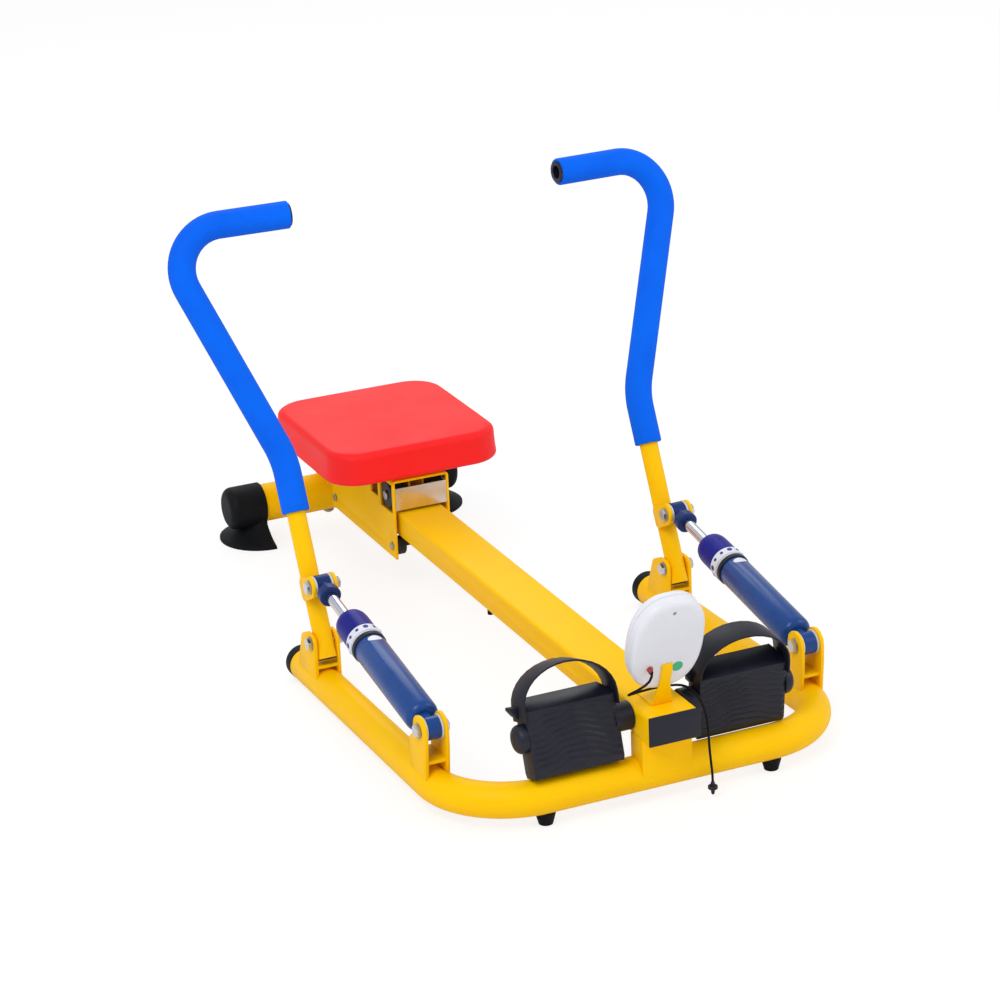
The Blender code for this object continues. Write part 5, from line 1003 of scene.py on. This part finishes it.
@dataclass
class Damper:
    """One damper: cylinder, ring, scale collar, rod and its two eyes."""

    handle: Handle
    clevis_y: float = 0.0863
    clevis_z: float = 0.0985
    ear_inner: float = 0.01045
    ear_thickness: float = 0.004
    eye_half: float = 0.0080
    eye_radius: float = 0.013
    eye_edge: float = 0.0012
    eye_bore: float = 0.0043
    eye_washer: float = 0.0140
    piston_radius: float = 0.0144
    piston_start: float = 0.112
    piston_end: float = 0.124
    rod_radius: float = 0.0067
    rod_foot: float = 0.0229
    rod_eye_half: float = 0.0084
    rod_eye_radius: float = 0.0125
    rod_eye_edge: float = 0.001
    rod_eye_bore: float = 0.0081
    rod_washer: float = 0.0120
    marks: int = 12
    mark_radius: float = 0.0020
    large_mark_radius: float = 0.0030
    marks_at: float = 0.1875
    marks_out: float = 0.02075
    label_at: float = 0.1640
    label_start: float = 0.157
    label_end: float = 0.1704
    label_inside: float = 0.0190
    label_outside: float = 0.01945
    label_half_wide: float = 0.0085
    label_half_high: float = 0.0047
    cylinder_outline: Profile = (
        (0, 0), (0.009, 0), (0.009, 0.0180), (0.0130, 0.0182), (0.0157, 0.0195), (0.0177, 0.0218),
        (0.0188, 0.0243), (0.0193, 0.0275), (0.0193, 0.1705), (0.0188, 0.1717), (0.0180, 0.1720),
        (0, 0.1720))
    ring_outline: Profile = (
        (0.0070, 0.1723), (0.0195, 0.1723), (0.0205, 0.1733), (0.0205, 0.1780), (0.0195, 0.1790),
        (0.0145, 0.1790), (0.0145, 0.2225), (0.0070, 0.2225))
    grip_outline: Profile = (
        (0.0168, 0.1938), (0.0188, 0.1938), (0.0198, 0.1950), (0.0198, 0.2200), (0.0196, 0.2245),
        (0.0190, 0.2285), (0.0179, 0.2320), (0.0164, 0.2343), (0.0146, 0.2354), (0.0128, 0.2355),
        (0.0118, 0.2345), (0.0071, 0.2345), (0.0071, 0.2230), (0.0148, 0.2228), (0.0148, 0.2010),
        (0.0168, 0.2010))
    band_outline: Profile = (
        (0.0150, 0.1794), (0.0192, 0.1794), (0.0192, 0.1813), (0.0204, 0.1815), (0.0210, 0.1823),
        (0.0210, 0.1927), (0.0204, 0.1935), (0.0150, 0.1935))
    boss_outline: Profile = (
        (0.0070, -0.0289), (0.0118, -0.0289), (0.0130, -0.0277), (0.0130, -0.0189), (0.0120, -0.0164),
        (0.0090, -0.0129), (0.0090, -0.0083), (0, -0.0083), (0, -0.0226), (0.0070, -0.0226))

    def __post_init__(self) -> None:
        """Work out the damper's axis."""
        self.name = self.handle.name
        self.clevis = from_bar(self.handle.side * self.handle.arm_x, self.clevis_y, self.clevis_z)
        self.axis = (self.handle.rod_pivot - self.clevis).normalized()
        self.length = (self.handle.rod_pivot - self.clevis).length

    def build(self) -> None:
        """Build the cylinder, collar and rod."""
        self.cylinder()
        self.collar()
        self.rod()

    def turn(self, kind: str, outline: Profile, sides: int) -> Object:
        """Turn a piece about the damper's axis."""
        return turned(f"{kind}_{self.name}", outline, self.clevis, self.axis, sides)

    def washers(self, kind: str, body: str, centre: Vector, start: float, outer: float, inner: float,
                thickness: float) -> None:
        """Turn the white washers on both sides of an eye.

        Args:
            kind: What the washers are called.
            body: The body that they ride on.
            centre: The middle of the eye.
            start: How far from the middle they begin.
            outer: Their outer radius.
            inner: Their inner radius.
            thickness: Their thickness.
        """
        for way, label in ((-1, "a"), (1, "b")):
            out = X_AXIS * way
            disc = washer(f"{kind}_{self.name}_{label}", centre + out * start, out, outer, inner, thickness)
            fit(disc, WASHER_WHITE, body)

    def cylinder(self) -> None:
        """Build the cylinder with its lower eye, seal ring, washers, label and bracket."""
        name, half = self.name, self.eye_half
        body = f"damper_{name}"
        tube = self.turn("cylinder", self.cylinder_outline, 56)
        eye = barrel(-half, half, self.eye_radius, self.eye_bore, self.eye_edge)
        combine(tube, "UNION", turned("lower_eye", eye, self.clevis, X_AXIS, 40))
        bore = barrel(-0.03, 0.03, self.eye_bore)
        combine(tube, "DIFFERENCE", turned("eye_bore", bore, self.clevis, X_AXIS, 24))
        settle(tube)
        fit(smooth(tube, 35.0), CYLINDER_BLUE, body, f"damper_body_{name}")
        fit(self.turn("seal_ring", self.ring_outline, 56), PLASTIC_BLACK, body, f"damper_guide_{name}")
        self.washers("eye_washer", body, self.clevis, half + 0.0001, self.eye_washer,
                     self.eye_bore - 0.0001, self.ear_inner - half - 0.0004)
        self.label(body)
        refined(f"clevis_bracket_{name}", "frame", YELLOW_PAINT, 0.0005)
        span = self.ear_inner + self.ear_thickness + GAP
        Pivot(self.clevis, span, "frame", f"clevis_bolt_{name}").build()

    def label(self, body: str) -> None:
        """Lay a plain white oval on the cylinder, close to its ring."""
        out = (X_AXIS * 0.10 + X_AXIS.cross(self.axis) * 0.995).normalized()
        outline = barrel(self.label_start, self.label_end, self.label_outside, self.label_inside)
        skin = self.turn("oval_label", outline, 96)
        oval = bow((0, 0), (self.label_half_wide, self.label_half_high), 0, 4, 40)[:-1]
        centre = self.clevis + self.axis * self.label_at + out * self.label_inside
        across = out.cross(self.axis).normalized()
        combine(skin, "INTERSECT", slab("label_cutter", oval, 0.014, centre, across, self.axis))
        fit(smooth(skin, 40.0), CASE_WHITE, body)

    def collar(self) -> None:
        """Build the adjusting collar with its white band and the round marks on it."""
        name = self.name
        body = f"collar_{name}"
        fit(self.turn("collar", self.grip_outline, 64), COLLAR_BLUE, body, f"adjusting_collar_{name}")
        fit(self.turn("scale_band", self.band_outline, 64), BAND_WHITE, body)
        middle = self.clevis + self.axis * self.marks_at
        for number in range(self.marks):
            out = Matrix.Rotation(math.tau * number / self.marks, 3, self.axis) @ X_AXIS
            radius = self.mark_radius if number % 3 else self.large_mark_radius
            start = middle + out * self.marks_out
            mark = turned(f"scale_mark_{name}_{number}", barrel(0, 0.0006, radius), start, out, 20)
            fit(mark, MARK_BLUE, body)

    def rod(self) -> None:
        """Build the chromed rod with its piston, and its blue end eye with washers."""
        name, end, half = self.name, self.handle.rod_pivot, self.rod_eye_half
        body = f"rod_{name}"
        top = self.length - self.rod_foot
        piston = barrel(self.piston_start, self.piston_end, self.piston_radius)[:-1]
        outline = piston + barrel(self.piston_end, top, self.rod_radius)[1:]
        fit(self.turn("piston_rod", outline, 36), CHROME, body, f"damper_rod_{name}")
        outline = barrel(-half, half, self.rod_eye_radius, self.rod_eye_bore, self.rod_eye_edge)
        eye = turned(f"rod_end_{name}", outline, end, X_AXIS, 40)
        combine(eye, "UNION", turned("rod_boss", self.boss_outline, end, self.axis, 40))
        settle(eye)
        fit(smooth(eye, 35.0), EYE_BLUE, body, f"rod_eye_{name}")
        self.washers("rod_washer", body, end, half + 0.0002, self.rod_washer, self.rod_eye_bore,
                     self.handle.tube_radius + GAP - half - 0.0005)


@dataclass
class Rollers:
    """One kind of roller set: two wheels on an axle with a bright head on each end."""

    kind: str
    track: float
    way: int
    inset: float
    axle: float
    radius: float
    inner: float
    outer: float
    axle_end: float
    head_radius: float
    head_height: float
    groove: float = 0.0012

    def outline(self) -> Profile:
        """Give the outline of the set, which is the same on both sides of the middle."""
        radius, inner, outer = self.radius, self.inner, self.outer
        edge = radius * 0.09
        half = [(self.axle, inner), (radius * 0.55, inner), (radius * 0.6, inner + self.groove),
                (radius * 0.82, inner + self.groove), (radius * 0.86, inner), (radius - edge, inner),
                (radius, inner + edge), (radius, outer - edge), (radius - edge, outer)]
        if self.axle_end > outer:
            half += [(radius * 0.5, outer), (self.axle, outer + GAP), (self.axle, self.axle_end)]
        half.append((0, self.axle_end))
        return [(r, -x) for r, x in half[::-1]] + half

    def build(self, place: str, y: float) -> None:
        """Turn one set, which rolls on the beam's upper or lower face, and its heads."""
        name, node = f"{self.kind}_wheels_{place}", f"{self.kind}_rollers_{place}"
        centre = from_bar(0, y, self.track + self.way * (GAP + self.radius))
        fit(turned(name, self.outline(), centre, X_AXIS), PLASTIC_BLACK, node, node)
        radius, height = self.head_radius, self.head_height
        head = [(0, 0), (radius, 0), (radius, height * 0.6), (radius * 0.86, height * 0.88),
                (radius * 0.6, height), (0, height)]
        for way, label in ((-1, "left"), (1, "right")):
            start = centre + X_AXIS * way * (self.axle_end + 0.00005)
            fit(turned(f"{name}_{label}_head", head, start, X_AXIS * way, 32), ZINC, node)


@dataclass
class Seat:
    """The sliding seat: pad, board, carriage, steel plate and rollers."""

    front: float = 0.647
    rear: float = 0.893
    width: float = 0.232
    bottom: float = 0.1613
    edge_top: float = 0.2025
    corner: float = 0.042
    low_round: float = 0.006
    top_round: float = 0.008
    taper: float = 0.0018
    crown: float = 0.0065
    waist: float = 0.0022
    carriage_front: float = 0.657
    carriage_rear: float = 0.876
    beam_bottom: float = 0.0795
    beam_top: float = 0.1135

    def build(self) -> None:
        """Build the seat from the cushion down."""
        self.pad()
        refined("seat_board", "seat", BOARD_BROWN, 0.0006)
        refined("seat_carriage", "seat", YELLOW_PAINT, 0.0006)
        refined("carriage_front_plate", "seat", SHEET_STEEL, 0.0004)
        self.rollers()

    def pad(self) -> None:
        """Model the padded seat: rounded corners, soft edges, a crowned top and drawn-in sides."""
        middle = from_bar(0, (self.front + self.rear) / 2, 0)
        half_x, half_y = self.width / 2, (self.rear - self.front) / 2
        outline = rounded(oblong(half_x, half_y), (self.corner,) * 4, 12)
        low = middle + Z_AXIS * self.bottom
        places = [low + X_AXIS * u + Y_AXIS * v for u, v in outline]
        pad = stepped("seat_cushion", places, half_x, half_y, self.rings(self.edge_top - self.bottom))
        share = 1.0
        for next_share in (0.94, 0.86, 0.76, 0.64, 0.5, 0.35, 0.2, 0.07):
            extrude(Vector((0, 0, 0)))
            bpy.ops.transform.resize(value=(next_share / share, next_share / share, 1))
            share = next_share
        close_edit()
        settle(pad)
        self.shape_pad(pad, middle, half_x, half_y)
        modify(pad, "SUBSURF", levels=1, render_levels=1)
        fit(smooth(pad, 60.0), SEAT_RED, "seat", "seat_pad")

    def rings(self, height: float) -> Profile:
        """Give how far each ring of the pad is drawn in and how high it lies, from the bottom up."""
        low, top = self.low_round, self.top_round
        side = height - low - top
        found = [(0.0, 0.0)] + bow((low, low), (low, low), -1, -2, 3)
        found += [(self.taper * i / 6, low + side * i / 6) for i in range(1, 7)]
        return found + bow((self.taper + top, height - top), (top, top), 2, 1, 6)[1:]

    def shape_pad(self, pad: Object, middle: Vector, half_x: float, half_y: float) -> None:
        """Raise the pad's crown and draw its sides in between the corners."""
        height = self.edge_top - self.bottom
        for vertex in pad.data.vertices:
            u = (vertex.co.x - middle.x) / half_x
            v = (vertex.co.y - middle.y) / half_y
            w = (vertex.co.z - self.bottom) / height
            if w > 0.99:
                vertex.co.z += self.crown * max(0.0, 1 - u * u) ** 0.8 * max(0.0, 1 - v * v) ** 0.8
            side = math.sin(math.pi * min(max(w, 0.0), 1.0))
            vertex.co.x -= self.waist * side * u * (1 - v * v)
            vertex.co.y -= self.waist * side * v * (1 - u * u)

    def rollers(self) -> None:
        """Turn the upper and the lower roller sets at both ends of the carriage."""
        upper = Rollers("upper", self.beam_top, 1, inset=0.025, axle=0.0035, radius=0.0177, inner=0.014,
                        outer=0.0366, axle_end=0.0366, head_radius=0.006, head_height=0.0035)
        lower = Rollers("lower", self.beam_bottom, -1, inset=0.011, axle=0.003, radius=0.012, inner=0.023,
                        outer=0.0342, axle_end=0.0383, head_radius=0.005, head_height=0.0025)
        for rollers in (upper, lower):
            rollers.build("front", self.carriage_front + rollers.inset)
            rollers.build("rear", self.carriage_rear - rollers.inset)


@dataclass
class Pedals:
    """Pedals, straps, their shaft and its caps."""

    shaft_y: float = 0.010
    shaft_z: float = 0.100
    inner: float = 0.0485
    outer: float = 0.155
    half: float = 0.013
    rib: float = 0.0019
    pitch: float = 0.0072
    rows: int = 104
    columns: int = 28
    tall: float = 0.086
    rise: float = -0.002
    drop: float = 0.012
    corner: float = 0.008
    foot_cut: float = 0.0027
    boss_start: float = 0.0303
    boss_radius: float = 0.0160
    boss_edge: float = 0.0008
    bore: float = 0.0064
    edge: float = 0.0005
    leans: tuple[tuple[str, float], ...] = (("left", -17.3), ("right", 5.5))
    cap_outline: Profile = (
        (0, 0.0100), (0.0063, 0.0100), (0.0063, 0), (0.0154, 0), (0.0162, 0.0008), (0.0162, 0.0040),
        (0.0157, 0.0066), (0.0144, 0.0090), (0.0121, 0.0110), (0.0090, 0.0123), (0.0052, 0.0130),
        (0.0020, 0.0132), (0, 0.0132))
    tab_outline: Profile = ((0, 0.022), (0, 0.034), (-0.0075, 0.0345), (-0.0085, 0.0320), (-0.0030, 0.024))

    def build(self) -> None:
        """Refine the shaft and straps, model the pedals and strap ends, and turn the caps."""
        refined("pedal_shaft", "frame", ZINC, 0.0004)
        for name, side in SIDES:
            self.pedal(name, side)
            refined(f"pedal_strap_{name}", f"pedal_{name}", STRAP_BLACK, 0.0004, 50.0)
            self.tab(name, side)
            start = from_bar(side * (self.outer + GAP), self.shaft_y, self.shaft_z)
            cap = turned(f"shaft_cap_{name}", self.cap_outline, start, X_AXIS * side)
            fit(cap, PLASTIC_BLACK, "frame", f"pedal_cap_{name}")

    def lean(self, piece: Object, name: str, side: int) -> None:
        """Turn a piece as its pedal leans and put it in the pedal's place on the shaft."""
        piece.rotation_euler = (math.radians(dict(self.leans)[name]), 0, 0)
        piece.location = from_bar(side * (self.inner + self.outer) / 2, self.shaft_y, self.shaft_z)
        settle(piece)

    def pedal(self, name: str, side: int) -> None:
        """Model one pedal: a ribbed block with a sloping top, cut corners and its boss."""
        half_x = (self.outer - self.inner) / 2
        low, high = self.rise - self.tall / 2, self.rise + self.tall / 2
        bpy.ops.mesh.primitive_grid_add(x_subdivisions=self.columns, y_subdivisions=1, size=1,
                                        location=(0, 0, low))
        piece = bpy.context.object
        only(piece)
        piece.name = f"ribbed_pedal_{name}"
        piece.scale = (2 * half_x, 2 * self.half, 1)
        bpy.ops.object.transform_apply(location=False, rotation=False, scale=True)
        edit(piece)
        for _ in range(self.rows):
            extrude(Z_AXIS * (self.tall / self.rows))
        close_edit()
        settle(piece)
        for vertex in piece.data.vertices:
            self.shape_rib(vertex, half_x, low, high)
        self.trim(piece, half_x, low, high)
        start, end, radius = self.boss_start - (self.inner + half_x), 0.004 - half_x, self.boss_radius
        outline = [(0, start), (radius - 0.0007, start), (radius, start + self.boss_edge), (radius, end),
                   (0, end)]
        centre = Vector((0, 0, 0))
        combine(piece, "UNION", turned("pedal_boss", outline, centre, X_AXIS * side))
        reach = half_x + 0.03
        bore = turned("pedal_bore", barrel(-reach, reach, self.bore), centre, X_AXIS, 32)
        combine(piece, "DIFFERENCE", bore)
        self.lean(piece, name, side)
        soften(piece, self.edge, 55.0)
        fit(smooth(piece, 38.0), PLASTIC_BLACK, f"pedal_{name}", f"pedal_{name}")

    def trim(self, piece: Object, half_x: float, low: float, high: float) -> None:
        """Cut a pedal's sloping top, its two upper corners and its thin foot."""
        planes = [((0, -self.half, high - self.drop), (0, -self.drop, 2 * self.half))]
        planes += [((way * half_x, 0, high - self.corner), (way, 0, 1)) for way in (1, -1)]
        planes += [((0, way * (self.half - self.foot_cut), low), (0, way * 2, -1)) for way in (-1, 1)]
        edit(piece)
        for place, normal in planes:
            bpy.ops.mesh.select_all(action="SELECT")
            bpy.ops.mesh.bisect(plane_co=place, plane_no=Vector(normal).normalized(), use_fill=True,
                                clear_outer=True)
        close_edit()

    def tab(self, name: str, side: int) -> None:
        """Shape the strap's short end, which stands out over its left leg."""
        x = -(self.outer - self.inner) / 2 - 0.0022
        outline = [(x + u, v) for u, v in self.tab_outline]
        piece = slab(f"strap_end_{name}", outline, 0.016, Y_AXIS * 0.008, X_AXIS, Z_AXIS, 0.0005)
        self.lean(piece, name, side)
        fit(smooth(piece, 40.0), STRAP_BLACK, f"pedal_{name}")

    def shape_rib(self, vertex: MeshVertex, half_x: float, low: float, high: float) -> None:
        """Swell the front and rear faces of a pedal into arched ribs."""
        place = vertex.co
        if abs(abs(place.y) - self.half) > 0.0001:
            return
        top = high - self.drop if place.y < 0 else high
        depth = min(place.z - low - 0.003, top - 0.002 - place.z, half_x - 0.002 - abs(place.x))
        if depth <= 0:
            return
        arch = 0.0055 * math.cos(math.pi * place.x / half_x)
        arch += 0.0010 * math.sin(3.1 * math.pi * place.x / half_x + 90.0 * place.z)
        wave = 0.5 - 0.5 * math.cos(math.tau * (place.z - arch) / self.pitch)
        place.y += math.copysign(self.rib * wave * min(depth / 0.002, 1.0), place.y)


@dataclass
class Display:
    """The display: two shells, window, button and bent bracket."""

    width: float = 0.086
    height: float = 0.119
    bottom: float = 0.133
    back_y: float = -0.0130
    lean: float = 18.0
    depth_rear: float = 0.014
    depth_front: float = 0.0095
    edge: float = 0.0063
    fullness: float = 0.8
    points: int = 72
    screw_up: float = 0.1050
    window_up: float = 0.0755
    window_half_wide: float = 0.030
    window_half_high: float = 0.019
    window_corner: float = 0.003
    button_up: float = 0.034
    button_radius: float = 0.0080
    button_outline: Profile = ((0, 0.0020), (0.0060, 0.0020), (0.0072, 0.0015), (0.0080, 0.0006),
                               (0.0080, -0.0024), (0, -0.0024))
    front_edge: Profile = ((0, 0.0045), (0.0008, 0.0022), (0.0022, 0.0007), (0.0045, 0))

    def __post_init__(self) -> None:
        """Work out the display's own directions."""
        lean = math.radians(self.lean)
        self.up = Vector((0, -math.sin(lean), math.cos(lean)))
        self.out = Vector((0, math.cos(lean), math.sin(lean)))
        self.foot = from_bar(0, self.back_y, self.bottom)
        self.deep = self.depth_rear + self.depth_front

    def place(self, up: float, out: float = 0.0) -> Vector:
        """Give a point on the display's middle line, up from its foot and out from its back."""
        return self.foot + self.up * up + self.out * out

    def shell(self, name: str, levels: Profile) -> Object:
        """Model a closed shell with full corners, ring by ring.

        Args:
            name: The piece's name.
            levels: Inset and depth of each ring, from the back to the front.

        Returns:
            The shell, standing in its place.
        """
        half_x, half_y = self.width / 2, self.height / 2
        inset, depth = levels[0]
        points = []
        for i in range(self.points):
            angle = math.tau * i / self.points
            across = math.copysign(abs(math.cos(angle)) ** self.fullness, math.cos(angle))
            upward = math.copysign(abs(math.sin(angle)) ** self.fullness, math.sin(angle))
            points.append(Vector(((half_x - inset) * across, (half_y - inset) * upward, depth)))
        piece = stepped(name, points, half_x, half_y, levels)
        close_edit()
        settle(piece)
        piece.rotation_euler = Matrix((-X_AXIS, self.up, self.out)).transposed().to_euler()
        piece.location = self.place(half_y)
        settle(piece)
        return smooth(piece, 40.0)

    def build(self) -> None:
        """Build the shells, window, button, screw, disc and bracket."""
        self.rear_shell()
        self.front_shell()
        glass = self.pane("display_glass", 0.0, 0.0024, 0.0015, 0.0004)
        fit(glass, WINDOW_DARK, "frame", "display_screen")
        middle = self.place(self.button_up, self.deep)
        button = turned("mode_button", self.button_outline, middle, self.out, 40)
        fit(button, PLASTIC_BLACK, "button", "display_button")
        screw = hex_head("case_screw", self.place(self.screw_up, 0.0059), -self.out, 0.0019, 0.0012)
        fit(screw, ZINC, "frame")
        centre = self.foot + X_AXIS * 0.0133 + self.up * 0.0288
        fit(turned("back_dot", barrel(0.00005, 0.00025, 0.0065), centre, -self.out, 40), DOT_GREEN, "frame")
        refined("display_bracket", "frame", YELLOW_PAINT, 0.0004)

    def rear_shell(self) -> None:
        """Model the rear shell with its screw recess."""
        edge, taller = self.edge, self.edge * 1.15
        levels = bow((taller, edge), (taller, edge), -1, -2, 6)
        levels += [(0, self.depth_rear - 0.0006), (0.0006, self.depth_rear - 0.0001)]
        rear = self.shell("display_back", levels)
        recess = barrel(-0.01, 0.006, 0.0023)
        combine(rear, "DIFFERENCE", turned("screw_recess", recess, self.place(self.screw_up), self.out, 32))
        fit(smooth(rear, 35.0), CASE_WHITE, "frame", "display_rear_shell")

    def front_shell(self) -> None:
        """Model the bezel with the openings of its window and button."""
        levels = [(0.0006, self.depth_rear + 0.0002), (0, self.depth_rear + 0.0007)]
        levels += [(inset, self.deep - back) for inset, back in self.front_edge]
        front = self.shell("display_front", levels)
        middle = self.place(self.button_up, self.deep)
        well = turned("button_well", barrel(-0.006, 0.01, self.button_radius + GAP), middle, self.out, 40)
        combine(front, "DIFFERENCE", self.pane("window_recess", GAP, 0.0060, 0.0, 0.0), well)
        fit(smooth(front, 35.0), CASE_WHITE, "frame", "display_bezel")

    def pane(self, name: str, gap: float, thickness: float, depth: float, edge: float) -> Object:
        """Cut a pane of the window's shape, or of its opening where it has a gap round it."""
        corners = oblong(self.window_half_wide + gap, self.window_half_high + gap)
        outline = rounded(corners, (self.window_corner + gap,) * 4, 6)
        centre = self.place(self.window_up, self.deep) - self.out * depth
        return slab(name, outline, thickness, centre, X_AXIS, self.up, edge)


def main() -> dict:
    """Load the solids and dress every sub-assembly."""
    logging.basicConfig(level=logging.INFO, format="%(message)s")
    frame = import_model()
    Studio().build()
    SensorCord().build()
    BaseFrame().build()
    for name, side in SIDES:
        handle = Handle(name, side)
        handle.build()
        Damper(handle).build()
    Seat().build()
    Pedals().build()
    Display().build()
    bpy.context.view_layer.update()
    return frame


if __name__ == "__main__":
    main()
